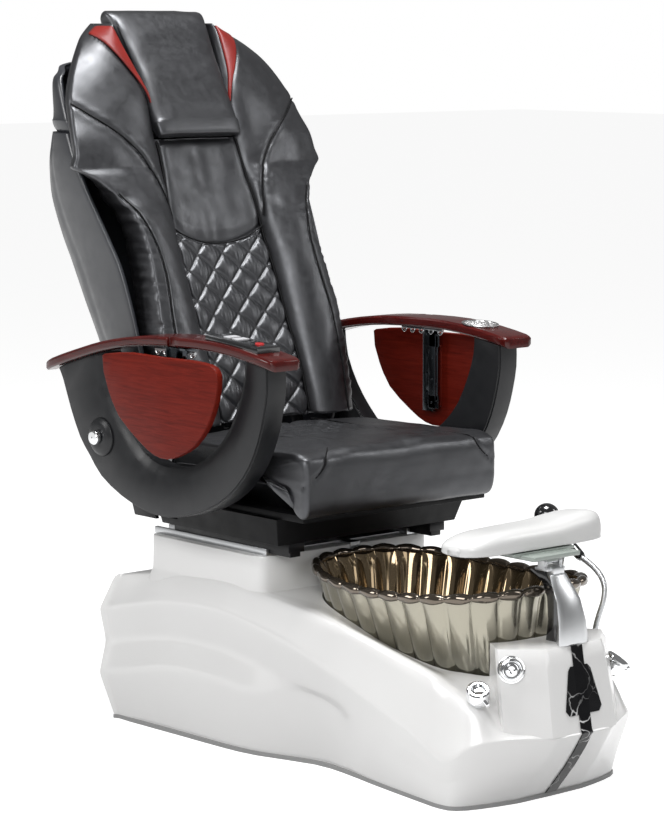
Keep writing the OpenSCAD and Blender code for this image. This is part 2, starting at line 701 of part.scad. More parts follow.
// ---- seat slide ----------------------------------------------------------------------
rail_x = 190;
rail_h = 14;
runner_h = 12;
runner_z = plinth_z + rail_h + gap;
module slide_rails() {
    color("black")
    union() {
        for (s = [-1, 1]) translate([s * rail_x, 0, 0])
            difference() {
                box(-22, 22, plinth_y0 + 6, plinth_y1 - 4, plinth_z, plinth_z + rail_h);
                box(-14, 14, plinth_y0 + 5, plinth_y1 - 3, plinth_z + 4, plinth_z + rail_h + 1);
            }
        for (y = [plinth_y0 + 30, plinth_y1 - 60])
            box(-rail_x, rail_x, y, y + 30, plinth_z, plinth_z + 4);
        box(4, 30, plinth_y0 - 3, plinth_y0 + 40, plinth_z, plinth_z + 4);
        box(4, 30, plinth_y0 - 3, plinth_y0 - gap, plinth_z - 22, plinth_z + 4);
    }
}
module slide_motor() {
    color("dimgray")
    union() {
        box(-30, 30, 330, 380, plinth_z + 4 + gap, plinth_z + 24);
        rod_y(110, 331, 0, plinth_z + 13, 5, 24);
        box(-14, 14, 96, 111, plinth_z + 4 + gap, plinth_z + 22);
    }
}

cross_y = 372;
cross_z = 476;
pivot_y = 350;
pivot_z = 530;
module carriage_frame() {
    top = seat_z - 8;
    color("black")
    union() {
        for (s = [-1, 1]) {
            translate([s * rail_x, 0, 0]) {
                box(-20, 20, -14, 352, plinth_z + rail_h + gap, skirt_z + 3);
                box(-13, 13, -10, 348, plinth_z + 4 + gap, plinth_z + rail_h + 1);
                box(-15, 15, -10, 350, skirt_z + 2, top);
            }
            box(s * 170 - 4, s * 170 + 4, 318, 350, top - 22, pivot_z);
            rod_x(s * 170 - 4, s * 170 + 4, pivot_y, pivot_z, 22);
        }
        for (y = [0, 310])
            box(-rail_x, rail_x, y, y + 30, top - 30, top);
        rod_x(gap - plate_x, plate_x - gap, cross_y, cross_z, 12);
        for (s = [-1, 1]) box(s * 186 - 10, s * 186 + 10, 345, cross_y, cross_z - 12, cross_z + 12);
        rod_x(-200, 200, pivot_y, pivot_z, 10);
    }
}

// Tapered skirt under the seat.
skirt_t = 3;
skirt_y1 = 356;
module skirt_solid(w, z0, z1) {
    function ring(z) = let (t = (z - skirt_z) / (seat_z - skirt_z), x = 238 + 19 * t - w,
                            y0 = -14 - 18 * t + w, y1 = skirt_y1 + 4 * t - w)
        [[x, y0, z], [x, y1, z], [-x, y1, z], [-x, y0, z]];
    skin([ring(z1), ring(z0)]);
}
module seat_skirt() {
    color([0.06, 0.06, 0.06])
    difference() {
        skirt_solid(0, skirt_z + 3 + gap, seat_z - 8);
        skirt_solid(skirt_t, skirt_z - 1, seat_z + 1);
        for (s = [-1, 1]) box(s * 215 - 45, s * 215 + 45, 300, 420, 455, 520);
    }
}
module seat_pan() {
    color("saddlebrown")
    box(-seat_w / 2 + 14, seat_w / 2 - 14, seat_rear - seat_d + 22, seat_rear - 24,
        seat_z - 8 + gap, seat_z + 6);
}
nose_t = 26;
under_z = seat_z + 57;
module seat_cushion() {
    y0 = seat_rear - seat_d;
    y1 = seat_rear;
    z1 = seat_z + seat_t;
    color([0.07, 0.07, 0.07])
    difference() {
        slab_x(-seat_w / 2, seat_w / 2,
               [[y0 + 18, seat_z], [y0 + 4, seat_z + 20], [y0, seat_z + 60], [y0, z1 - 24],
                [y0 + 10, z1 - 6], [y0 + 34, z1 + 4], [y0 + 90, z1 + 2], [y0 + 220, z1 - 4],
                [y1 - 60, z1 - 2], [y1 - 12, z1 - 4], [y1, z1 - 14], [y1, seat_z + 20],
                [y1 - 12, seat_z]]);
        box(-seat_w / 2 + 13, seat_w / 2 - 13, y0 + 21, y1 - 23, seat_z - 1, seat_z + 6 + gap);
        for (s = [-1, 1]) {
            translate([s * seat_w / 2, 0, z1 + 4]) rotate([0, s * 45, 0])
                box(-12, 12, y0 - 1, y1 + 1, -12, 12);
            on_side(s) slab_x(seat_w / 2 - 54, seat_w / 2 + 1,
                [[y0 + nose_t, seat_z - 1], [y0 + nose_t + 5, seat_z + 28], [y0 + nose_t + 18, under_z - 10],
                 [y0 + nose_t + 40, under_z], [y1 + 1, under_z], [y1 + 1, seat_z - 1]]);
            on_side(s) box(seat_w / 2 - 8, seat_w / 2 + 1, y0 + nose_t + 6, y1 + 1, seat_z, z1 - 14);
        }
    }
}

// Plates that carry the arms: from the cross tube up to the pivot shafts.
arm_y = 430;
arm_z = 620;
shaft_r = 20;
plate_x = seat_w / 2 + 4;
module pivot_brackets() {
    color("black")
    for (s = [-1, 1]) on_side(s)
        difference() {
            union() {
                slab_x(plate_x, plate_x + 8,
                       [[cross_y - 36, cross_z - 22], [cross_y + 36, cross_z - 22],
                        [arm_y + 34, arm_z - 20], [arm_y + 34, arm_z + 22], [arm_y + 20, arm_z + 34],
                        [arm_y - 20, arm_z + 34], [arm_y - 34, arm_z + 20], [arm_y - 34, arm_z - 20]]);
                rod_x(plate_x, arm_out - 12, arm_y, arm_z, shaft_r, 64);
                rod_x(plate_x, arm_in - gap, arm_y, arm_z, shaft_r + 8, 64);
            }
            rod_x(arm_out - 36, arm_out, arm_y, arm_z, 7, 32);
        }
}

cable_pts = [
    [-276, 434, 591], [-277, 437, 575], [-278, 438, 558], [-278, 436, 540], [-278, 431, 522],
    [-278, 421, 505], [-278, 406, 490], [-278, 388, 479], [-278, 368, 472], [-278, 348, 468],
    [-277, 334, 466], [-272, 322, 465], [-263, 312, 465], [-254, 304, 465], [-249, 296, 465]];
module remote_cable() {
    color("black") tube(cable_pts, 2.5, 8);
}

module recline_motor() {
    color("dimgray")
    union() {
        box(-60, 60, 296, 345, plinth_z + 30, seat_z - 38 - gap);
        rod_x(-96, -59, 320, plinth_z + 43, 12, 32);
    }
}

// ---- backrest ------------------------------------------------------------------------
// Widths and depths by height: [z, half width, y] for the seams and the outline.
top_lift = back_top - 1462;
seam_in = [
    [640, 122, 305], [740, 121, 334], [835, 121, 378], [940, 121, 422], [1010, 119, 454],
    [1070, 118, 476], [1130, 111, 500], [1190, 107, 523], [1218, 106, 534],
    [1224, 107, 538], [1260, 107.5, 548], [1300, 107.5, 560], [1340, 111.5, 580],
    [1380, 119.5, 604], [1420, 126.5, 631], [1450 + top_lift, 131.5, 650]];
seam_out = [
    [640, 238, 302], [740, 240, 322], [835, 240, 347], [940, waist_r - 1, 382],
    [1010, waist_r - 5, 412], [1070, waist_r + 4, 442], [1130, shoulder_r - 50, 486],
    [1165, shoulder_r, 520], [1190, shoulder_r - 9, 524], [1218, shoulder_r - 12, 532],
    [1224, shoulder_r - 13, 536], [1260, shoulder_r - 22, 557], [1300, shoulder_r - 32, 578],
    [1340, shoulder_r - 50, 597], [1380, shoulder_r - 76, 618], [1420, shoulder_r - 114, 648],
    [1450 + top_lift, shoulder_r - 166, 688]];
function at_z(p, z) = let (i = max([for (k = [0 : len(p) - 2]) if (p[k][0] <= z) k]),
                           t = (z - p[i][0]) / (p[i + 1][0] - p[i][0]))
    p[i] * (1 - t) + p[i + 1] * t;

pillow_o = [0, 592, 1222];
pillow_d = [0, 0.4626, 0.8866];
pillow_n = [0, -0.8866, 0.4626];
module back_cushion() {
    lower = [for (p = seam_in) if (p[0] < 1220) p];
    upper = [for (p = seam_in) if (p[0] > 1220) p];
    function face_y(z) = 592 + (z - 1222) * 0.5218;
    rings = concat(
        [for (p = lower) let (w = p[1] - gap, f = p[2] + 10, b = p[2] + 8 + cushion_t)
            [for (k = [0 : 12]) let (u = 1 - k / 6) [w * u, f - 10 * u * u, p[0]]]],
        [for (p = upper) let (w = p[1] - gap, f = face_y(p[0]))
            [for (k = [0 : 12]) let (u = 1 - k / 6) [w * u, f, p[0]]]]);
    backs = concat([for (p = lower) p[2] + 8 + cushion_t], [for (p = upper) face_y(p[0]) + 28]);
    color([0.08, 0.08, 0.08])
    skin([for (j = [0 : len(rings) - 1]) let (r = rings[j], b = backs[j], z = r[0][2], w = r[0][0])
        concat(r, [[-w, b - 8, z], [8 - w, b, z], [0, b, z], [w - 8, b, z], [w, b - 8, z]])]);
}

// Winged side pads; the front bulges between the inner seam and the outline.
wing_z = [640, 690, 740, 790, 835, 890, 940, 975, 1010, 1040, 1070, 1095, 1120, 1140, 1155, 1165,
          1176, 1190, 1218, 1224, 1240, 1260, 1300, 1340, 1380, 1405, 1425, 1440, 1450 + top_lift];
module wing_pad() {
    skin([for (z = wing_z)
        let (a = at_z(seam_in, min(z, 1449 + top_lift)), b = at_z(seam_out, min(z, 1449 + top_lift)),
             top = z > 1449 + top_lift ? 7 : 0, deep = z < 1220 ? 50 : 60, w = b[1] - a[1],
             side = 28 + max(0, min(48, (1130 - z) * 0.32, (z - 640) * 0.5 + 17)))
        concat(
            [for (k = [10 : -1 : 0]) let (u = k / 10)
                [a[1] + w * u, a[2] + (b[2] - a[2]) * u + top
                               - (z < 1060 ? 26 : 18) * pow(sin(180 * pow(u, 0.8)), 0.8), z]],
            [[a[1], a[2] + deep, z],
             [a[1] + w * 0.5, a[2] * 0.5 + b[2] * 0.5 + deep / 2 + side / 2, z],
             [b[1] - 14, b[2] + side, z], [b[1] - 4, b[2] + side - 6, z]])]);
}
module wing_pad_r() {
    color([0.08, 0.08, 0.08]) on_side(-1) wing_pad();
}
module wing_pad_l() {
    color([0.08, 0.08, 0.08]) wing_pad();
}

// Head pillow: [distance up its plane, half width, depth behind its front, thickness].
pillow_rows = [[2, 100, 14, 30], [6, 104, 4, 46], [14, 105.5, 0, 50], [60, 105.5, -3, 53],
    [110, 106, -4, 54], [150, 109, -3, 53], [190, 115, 0, 50], [225, 122, 1, 49],
    [250, 127, 4, 46], [266, 128, 12, 38], [274, 122, 22, 26]];
module head_pillow() {
    color([0.07, 0.07, 0.07])
    skin([for (p = pillow_rows) let (o = pillow_o + pillow_d * p[0], w = p[1], t = p[3])
        [for (a = [0 : 15 : 345]) let (c = cos(a), s = sin(a))
            o + [w * pow_sin(c, 0.3), 0, 0]
              + pillow_n * (1 + t / 2 + (t / 2) * pow_sin(s, 0.45))]]);
}

// Moulded shell behind the cushions: [z, half width, front y, rear y].
shell_rows = [[560, 200, 345, 500], [640, 235, 352, 540], [720, 250, 372, 572],
    [802, 262, 400, 607], [880, 269, 420, 655], [960, 276, 446, 701], [1016, 284, 474, 728],
    [1078, 293, 508, 750], [1120, 299, 530, 760], [1172, 305, 556, 765], [1210, 304, 575, 757],
    [1237, 301, 588, 748]];
cover_rows = [[1237 + gap, 300, 589, 747], [1241, 300, 590, 746], [1243, 294, 592, 740], [1268, 291, 603, 735], [1337, 281, 640, 732],
    [1358, 262, 655, 730], [1371, 235, 702, 726], [1380, 200, 710, 719]];
module shell_skin(rows, w, open_z) {
    skin([for (r = rows)
        let (x = r[1] - w, y0 = r[2] - (w > 0 ? 6 : 0), y1 = r[3] - w, d = r[3] - r[2],
             z = r[0] + open_z * (r == rows[0] ? -1 : 0) - (r == rows[len(rows) - 1] ? w : 0))
        concat([for (k = [[1, 0], [1, 0.35], [0.95, 0.62], [0.82, 0.84], [0.55, 0.96]])
                    [-x * k[0], y0 + (y1 - y0) * k[1], z]],
               [[0, y1, z]],
               [for (k = [[0.55, 0.96], [0.82, 0.84], [0.95, 0.62], [1, 0.35], [1, 0]])
                    [x * k[0], y0 + (y1 - y0) * k[1], z]])]);
}
module back_shell() {
    color([0.1, 0.1, 0.1])
    difference() {
        shell_skin(shell_rows, 0, 0);
        shell_skin(shell_rows, shell_wall, 1);
        translate([0, 0, 1237 - shell_wall - 1])
            linear_extrude(shell_wall + 2)
                polygon([[296, 560], [296, 645], [280, 690], [240, 725], [160, 738], [0, 741],
                         [-160, 738], [-240, 725], [-280, 690], [-296, 645], [-296, 560]]);
    }
}
module back_shell_cover() {
    color([0.1, 0.1, 0.1])
    difference() {
        shell_skin(cover_rows, 0, 0);
        shell_skin(cover_rows, shell_wall, 1);
    }
}

// Frame of the backrest: two tubes and their cross bars, with the recline sleeves.
tube_x = 150;
tube_r = 12;
tube_a = [350, 530];
tube_b = [614, 1230];
tube_c = [672, 1352];
slide_d = [0, 0.3529, 0.9357];
module back_frame() {
    function p3(x, p) = [x, p[0], p[1]];
    ab = norm(tube_b - tube_a);
    bc = norm(tube_c - tube_b);
    shell_bar = at_z(shell_rows, 1188)[1] - shell_wall - gap;
    color("black")
    difference() {
        union() {
            for (s = [-1, 1]) {
                rod_x(s * tube_x - 14, s * tube_x + 14, pivot_y, pivot_z, 18);
                along(p3(s * tube_x, tube_a), p3(s * tube_x, tube_b)) cylinder(h = ab, r = tube_r, $fn = 40);
                along(p3(s * tube_x, tube_b), p3(s * tube_x, tube_c)) cylinder(h = bc, r = tube_r, $fn = 40);
                translate(p3(s * tube_x, tube_b)) sphere(r = tube_r, $fn = 40);
                rod_y(tube_c[0] - 4, 700, s * tube_x, tube_c[1] - 8, 8, 24);
            }
            rod_x(-228, 228, 399, 660, 8, 24);
            rod_x(-shell_bar, shell_bar, 595, 1180, 8, 24);
            rod_x(-tube_x, tube_x, 700, tube_c[1] - 8, 8, 24);
            box(-60, 60, 378.3, 399, 652, 668);
            box(-60, 60, 586.6, 595, 1172, 1188);
        }
        rod_x(-tube_x - 30, tube_x + 30, pivot_y, pivot_z, 10.05);
    }
}

// Massage carriage and its rollers, riding on the frame tubes behind the cushion.
carriage_s = 260;
module on_track(s) {
    translate([0, tube_a[0], tube_a[1]] + slide_d * s)
        rotate([-acos(slide_d[2]), 0, 0]) children();
}
roller_y = 24;
module massage_carriage() {
    color("dimgray")
    on_track(carriage_s)
        difference() {
            union() {
                for (s = [-1, 1]) {
                    translate([s * tube_x, 0, -35]) cylinder(h = 70, r = 19, $fn = 48);
                    box(s * 100 - 4, s * 100 + 4, 4, 74, -35, 35);
                    box(s * 124 - 26, s * 124 + 26, 12, 20, -35, 35);
                }
                box(-104, 104, 66, 74, -35, 35);
                box(-40, 40, 73, 118, -30, 30);
            }
            for (s = [-1, 1]) translate([s * tube_x, 0, -40]) cylinder(h = 80, r = tube_r + 0.05, $fn = 48);
            rod_x(-120, 120, roller_y, 0, 8.05);
        }
}
module massage_rollers() {
    color("darkgray")
    on_track(carriage_s)
        union() {
            rod_x(-108, 108, roller_y, 0, 8);
            for (s = [-1, 1]) translate([s * 50, roller_y, 0]) rotate([0, 90, 0])
                rotate_extrude($fn = 64)
                    polygon([[4, -22], [22, -22], [29, -12], [31, 0], [29, 12], [22, 22], [4, 22]]);
        }
}

// ---- arms ----------------------------------------------------------------------------
arm_line = [[-127, 822], [-112, 827], [-37, 839], [55, 847], [149, 847], [246, 843], [329, 834],
            [413, 819], [482, 801], [552, 781], [613, 761]];
function top_z(y) = let (p = arm_line,
                         i = max([for (k = [0 : len(p) - 2]) if (p[k][0] <= y) k]),
                         t = (y - p[i][0]) / (p[i + 1][0] - p[i][0]))
    p[i][1] * (1 - t) + p[i + 1][1] * t;
arm_mid = arm_in + 27;
track_x = arm_out + 5;
track_y = 180;
module arm_top() {
    curve = smooth(arm_line, 2);
    n = len(curve);
    difference() {
        skin([for (i = [0 : n - 1])
            let (y = curve[i][0], zt = curve[i][1], zb = zt - top_t, c = 4,
                 end = i == 0 ? 10 : i == 1 ? 3 : i == n - 1 ? 8 : 0,
                 xi = arm_mid - top_w / 2 + end + (y > 180 ? 34 * pow((y - 180) / 433, 1.5) : 0),
                 xo = arm_mid + top_w / 2 - end)
            [[xo - c, y, zt], [xi + c, y, zt], [xi, y, zt - c], [xi, y, zb + c],
             [xi + c, y, zb], [xo - c, y, zb], [xo, y, zb + c], [xo, y, zt - c]]]);
        box(track_x + 2, arm_mid + top_w, track_y - 12, track_y + 12, 800, 860);
    }
}
cup_y = -12;
module at_cup() {
    translate([arm_mid, cup_y, top_z(cup_y) + 1]) rotate([4.9, 0, 0]) children();
}
remote_y = 5;
remote_l = 160;
remote_w = 56;
module at_remote() {
    translate([-arm_mid, remote_y, top_z(remote_y)]) rotate([5, 0, 0]) children();
}
module arm_top_r() {
    color([0.35, 0.05, 0.05])
    difference() {
        on_side(-1) arm_top();
        at_remote() box(-remote_w / 2 - gap, remote_w / 2 + gap, -remote_l / 2 - gap, remote_l / 2 + gap, -5, 30);
    }
}
module arm_top_l() {
    color([0.35, 0.05, 0.05])
    difference() {
        arm_top();
        at_cup() translate([0, 0, -14]) cylinder(h = 40, r = cup_d / 2 + gap, $fn = 64);
    }
}

// The curved casing below each arm, open in a wide U.
casing_out = [[-98, 803], [-98, 760], [-88, 710], [-72, 660], [-45, 610], [-5, 565], [50, 527],
    [120, 498], [190, 482], [240, 478], [305, 486], [370, 504], [435, 536], [475, 575],
    [508, 610], [540, 667], [566, 726], [582, 750]];
casing_in = [[426, 794], [416, 740], [384, 681], [344, 634], [301, 598], [252, 581], [203, 579],
    [139, 592], [75, 629], [28, 678], [-3, 739], [-18, 785], [-20, 819]];
// Centre of the opening; the rim flares away from it on the outer face.
u_mid = [203, 830];
flare = 20;
function flared(p, d) = p + (p - u_mid) * d / norm(p - u_mid);
module casing() {
    top = [for (y = [552, 482]) [y, top_z(y) - top_t - gap]];
    seat = [for (y = [426, -20, -37, -98]) [y, top_z(y) - top_t - gap]];
    inner = smooth(casing_in, 2);
    outline = concat([seat[3]], smooth(casing_out, 2), top, [seat[0]],
                     [for (i = [2 : len(inner) - 2]) inner[i]], [seat[1], seat[2]]);
    lip = concat([[430, 900]], [for (p = inner) if (p[1] < 792) p], [[-24, 900]]);
    difference() {
        union() {
            slab_x(arm_in + 4, arm_out - 4, outline);
            for (x = [[arm_in, arm_in + 4.5], [arm_out - 4.5, arm_out]])
                multmatrix([[0, 0, 1, x[0]], [1, 0, 0, 0], [0, 1, 0, 0]])
                    linear_extrude(x[1] - x[0]) offset(delta = -3) polygon(outline);
        }
        skin([for (x = [[arm_out - 13, -1], [arm_out + 1, flare + 2]])
            [for (p = lip) let (q = flared(p, x[1])) [x[0], q[0], q[1]]]]);
        rod_x(arm_in - 20, arm_out - 10, arm_y, arm_z, shaft_r + 0.05, 64);
        rod_x(arm_in - 20, arm_in + 9, arm_y, arm_z, shaft_r + 10, 64);
        rod_x(arm_out - 20, arm_out + 20, arm_y, arm_z, 8, 48);
    }
}
module arm_casing_r() {
    color([0.1, 0.1, 0.1]) on_side(-1) casing();
}
module arm_casing_l() {
    color([0.1, 0.1, 0.1]) casing();
}

module pivot_cap() {
    translate([arm_out + gap, arm_y, arm_z]) rotate([0, 90, 0])
        rotate_extrude($fn = 64)
            polygon([[7, 0], [cap_r, 0], [cap_r - 1, 4], [cap_r - 8, 9], [24, 11], [7, 11]]);
}
module pivot_cap_r() {
    color([0.12, 0.12, 0.12]) on_side(-1) pivot_cap();
}
module pivot_cap_l() {
    color([0.12, 0.12, 0.12]) pivot_cap();
}
module lock_knob() {
    translate([arm_out - 30, arm_y, arm_z]) rotate([0, 90, 0])
        rotate_extrude($fn = 48)
            polygon([[0, 0], [6, 0], [6, 42 + gap], [14, 42 + gap], [15, 45], [15, 52], [13, 55], [0, 56]]);
}
module lock_knob_r() {
    color("silver") on_side(-1) lock_knob();
}
module lock_knob_l() {
    color("silver") lock_knob();
}

// Lifting side trays: a fixed rail, a sliding link and the panel with its runner.
module tray_rail() {
    z1 = top_z(track_y) - top_t - 1;
    difference() {
        union() {
            box(track_x, track_x + 3, track_y - 15, track_y + 15, 640, z1);
            for (s = [-1, 1]) box(track_x, track_x + 10, track_y + s * 14 - 1, track_y + s * 14 + 1, 640, z1);
            box(arm_in + 10, track_x + 3, track_y - 38, track_y + 30, z1 - 4, z1);
        }
        for (z = [680, 720, 760]) rod_x(track_x - 1, track_x + 4, track_y, z, 4, 24);
    }
}
module tray_rail_r() {
    color("black") on_side(-1) tray_rail();
}
module tray_rail_l() {
    color("black") tray_rail();
}
module tray_slide() {
    difference() {
        box(track_x + 3 + gap, track_x + 14, track_y - 11, track_y + 11, 645, 795);
        box(track_x + 7, track_x + 15, track_y - 8, track_y + 8, 644, 796);
    }
}
module tray_slide_r() {
    color("dimgray") on_side(-1) tray_slide();
}
module tray_slide_l() {
    color("dimgray") tray_slide();
}
panel_line = [[374, 791], [367, 799], [286, 808], [188, 807], [92, 809], [29, 805], [10, 795],
    [4, 778], [11, 738], [36, 686], [78, 642], [126, 617], [164, 606], [207, 610], [256, 633],
    [322, 677], [355, 725]];
module tray_panel() {
    union() {
        slab_x(arm_out + 24, arm_out + 24 + tray_t, concat(smooth(panel_line, 2), [[371, 762]]));
        box(track_x + 7 + gap, arm_out + 24.5, track_y - 7, track_y + 7, 640, 790);
        box(track_x + 15, arm_out + 24.5, track_y - 24, track_y + 24, 650, 780);
    }
}
module tray_panel_r() {
    color([0.4, 0.05, 0.05]) on_side(-1) tray_panel();
}
module tray_panel_l() {
    color([0.4, 0.05, 0.05]) tray_panel();
}

// Remote keypad let into the near arm, and the cup holder in the other.
module remote_housing() {
    color([0.05, 0.05, 0.05])
    at_remote()
        difference() {
            skin([[for (p = [[-1, 1], [1, 1], [1, -1], [-1, -1]]) [p[0] * remote_w / 2, p[1] * remote_l / 2, -5 + gap]],
                  [for (p = [[-1, 1], [1, 1], [1, -1], [-1, -1]]) [p[0] * remote_w / 2, p[1] * remote_l / 2, 7]],
                  [for (p = [[-1, 1], [1, 1], [1, -1], [-1, -1]]) [p[0] * (remote_w / 2 - 4), p[1] * (remote_l / 2 - 4), 10]]]);
            translate([0, -52, 4]) cylinder(h = 10, r = 9.3, $fn = 48);
            for (y = [6, 32]) box(-15.3, 15.3, y - 9.3, y + 9.3, 4, 12);
        }
}
module power_button() {
    color("red")
    at_remote() translate([0, -52, 5.5]) cylinder(h = 6.5, r = 9, $fn = 48);
}
module key_up() {
    color("gray")
    at_remote() box(-15, 15, 32 - 9, 32 + 9, 5.5, 11.5);
}
module key_down() {
    color("gray")
    at_remote() box(-15, 15, 6 - 9, 6 + 9, 5.5, 11.5);
}
module cup_holder() {
    r = cup_d / 2;
    color("silver")
    at_cup()
        rotate_extrude($fn = 64)
            polygon([[0, -14 + gap], [r - 1, -14 + gap], [r, -12], [r, gap], [r + 4, gap], [r + 4, 2],
                     [r + 2, 3], [r - 1, 2], [r - 2, -10], [r - 4, -12], [0, -12]]);
}

// ---- drawing -------------------------------------------------------------------------
base_shell();
base_skirting();
marble_inlay();
base_frame();
levelling_feet();
bowl();
drain_fitting();
jet_housing();
jet_impeller();
footrest_pillar();
pillar_insert();
footrest_head();
footrest_pad();
regulator_plate();
regulator_knob();
mixer_body();
mixer_knob();
diverter_body();
diverter_lever();
shower_holder();
hand_shower();
hose_ferrule();
shower_hose();
slide_rails();
slide_motor();
carriage_frame();
seat_skirt();
seat_pan();
seat_cushion();
pivot_brackets();
remote_cable();
recline_motor();
back_frame();
back_shell();
back_shell_cover();
back_cushion();
wing_pad_r();
wing_pad_l();
head_pillow();
massage_carriage();
massage_rollers();
arm_casing_r();
arm_casing_l();
arm_top_r();
arm_top_l();
pivot_cap_r();
pivot_cap_l();
lock_knob_r();
lock_knob_l();
tray_rail_r();
tray_rail_l();
tray_slide_r();
tray_slide_l();
tray_panel_r();
tray_panel_l();
remote_housing();
power_button();
key_up();
key_down();
cup_holder();
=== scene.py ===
import math
import bpy
import bmesh
import numpy as np
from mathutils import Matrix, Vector


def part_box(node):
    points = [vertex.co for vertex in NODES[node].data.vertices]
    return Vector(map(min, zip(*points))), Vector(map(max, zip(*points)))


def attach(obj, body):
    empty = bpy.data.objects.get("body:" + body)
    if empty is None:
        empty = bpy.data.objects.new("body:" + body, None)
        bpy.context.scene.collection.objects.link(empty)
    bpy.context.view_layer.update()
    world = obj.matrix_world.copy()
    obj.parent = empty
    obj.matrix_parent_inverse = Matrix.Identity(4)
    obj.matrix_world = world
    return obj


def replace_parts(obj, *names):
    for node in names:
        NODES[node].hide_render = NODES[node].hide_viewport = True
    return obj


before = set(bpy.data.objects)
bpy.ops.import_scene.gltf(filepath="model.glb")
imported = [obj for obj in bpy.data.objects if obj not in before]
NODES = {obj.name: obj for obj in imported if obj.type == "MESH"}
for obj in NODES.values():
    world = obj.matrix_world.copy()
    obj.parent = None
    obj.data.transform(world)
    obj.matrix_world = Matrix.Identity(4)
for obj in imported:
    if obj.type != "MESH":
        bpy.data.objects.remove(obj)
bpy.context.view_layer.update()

MM = 0.001
SIDES = ((-1, "r"), (1, "l"))


# ---- camera ----
cam = bpy.data.objects.new("camera", bpy.data.cameras.new("camera"))
bpy.context.scene.collection.objects.link(cam)
cam.data.sensor_fit = "VERTICAL"
cam.data.sensor_height = 36
cam.data.lens = 129.873
cam.data.clip_end = 60
LOOKS_DOWN, LOOKS_RIGHT = 7.5573, 41.0
cam.location = (-3.92907, -4.42213, 1.47139)
cam.rotation_euler = (math.radians(90 - LOOKS_DOWN), 0, math.radians(-LOOKS_RIGHT))
bpy.context.scene.camera = cam


# ---- small helpers ----
def link(obj):
    bpy.context.scene.collection.objects.link(obj)
    return obj


def catmull(pts, k, closed=False):
    """Smooth line through points, k steps per span."""
    p = np.array(pts, float)
    n = len(p)
    out = []
    spans = n if closed else n - 1
    for i in range(spans):
        idx = [(i + d) % n if closed else min(max(i + d, 0), n - 1) for d in (-1, 0, 1, 2)]
        a, b, c, d = (p[j] for j in idx)
        for s in range(k):
            t = s / k
            out.append(0.5 * (2 * b + (c - a) * t + (2 * a - 5 * b + 4 * c - d) * t * t
                              + (3 * b - a - 3 * c + d) * t ** 3))
    if not closed:
        out.append(p[-1])
    return np.array(out)


def turn(n):
    """Angles of n equal steps round a circle."""
    return np.linspace(0, 2 * math.pi, n + 1)[:-1]


def spow(v, e):
    """Power that keeps the sign of v."""
    return np.copysign(np.abs(v) ** e, v)


def place(name, data, body):
    """Object linked into the scene that rides on a body."""
    o = link(bpy.data.objects.new(name, data))
    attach(o, body)
    return o


def add_mesh(name, verts, faces, mats, body, index=None):
    """Smooth-shaded piece from vertices in millimetres."""
    me = bpy.data.meshes.new(name)
    points = [tuple(float(c) * MM for c in v) for v in verts]
    me.from_pydata(points, [], [tuple(map(int, f)) for f in faces])
    for m in mats if isinstance(mats, (list, tuple)) else [mats]:
        me.materials.append(m)
    if index is not None:
        me.polygons.foreach_set("material_index", [int(i) for i in index])
    me.polygons.foreach_set("use_smooth", [True] * len(me.polygons))
    me.update()
    return place(name, me, body)


def quads(m, n, closed=True):
    """Faces between m rings of n points each."""
    return [(j * n + i, j * n + (i + 1) % n, (j + 1) * n + (i + 1) % n, (j + 1) * n + i)
            for j in range(m - 1) for i in range(n if closed else n - 1)]


def loft(rings, cap=True):
    """Vertices and faces of a skin over rings of equal length."""
    r = np.array(rings, float)
    m, n = r.shape[:2]
    v = r.reshape(-1, 3).tolist()
    f = quads(m, n)
    if cap:
        for j, flip in ((0, True), (m - 1, False)):
            c = len(v)
            v.append(r[j].mean(axis=0).tolist())
            for i in range(n):
                a, b = j * n + i, j * n + (i + 1) % n
                f.append((b, a, c) if flip else (a, b, c))
    return v, f


def fix_normals(o):
    bm = bmesh.new()
    bm.from_mesh(o.data)
    bmesh.ops.remove_doubles(bm, verts=bm.verts, dist=1e-5)
    bmesh.ops.recalc_face_normals(bm, faces=bm.faces)
    bm.to_mesh(o.data)
    bm.free()
    return o


def lofted(name, rings, mats, body, cap=True):
    """Piece with a skin over rings in millimetres."""
    v, f = loft(rings, cap)
    return fix_normals(add_mesh(name, v, f, mats, body))


WELD = 2e-5


def smooth_group(angle):
    """Modifier that welds a mesh and shades it smooth below an angle."""
    key = "smooth_%d" % angle
    if key in bpy.data.node_groups:
        return bpy.data.node_groups[key]
    g = bpy.data.node_groups.new(key, "GeometryNodeTree")
    for way in ("INPUT", "OUTPUT"):
        g.interface.new_socket("Geometry", in_out=way, socket_type="NodeSocketGeometry")
    first, last = node(g, "NodeGroupInput"), node(g, "NodeGroupOutput")
    weld = node(g, "GeometryNodeMergeByDistance", Distance=WELD)
    faces = node(g, "GeometryNodeSetShadeSmooth", domain="FACE")
    edges = node(g, "GeometryNodeSetShadeSmooth", domain="EDGE")
    bend = node(g, "GeometryNodeInputMeshEdgeAngle")
    flat = node(g, "FunctionNodeCompare", data_type="FLOAT", operation="LESS_EQUAL")
    flat.inputs[1].default_value = math.radians(angle)
    for a, b in ((first, weld), (weld, faces), (faces, edges), (bend, flat), (edges, last)):
        g.links.new(a.outputs[0], b.inputs[0])
    g.links.new(flat.outputs[0], edges.inputs["Shade Smooth"])
    return g


def shade(o, angle):
    o.modifiers.new("smooth", "NODES").node_group = smooth_group(angle)


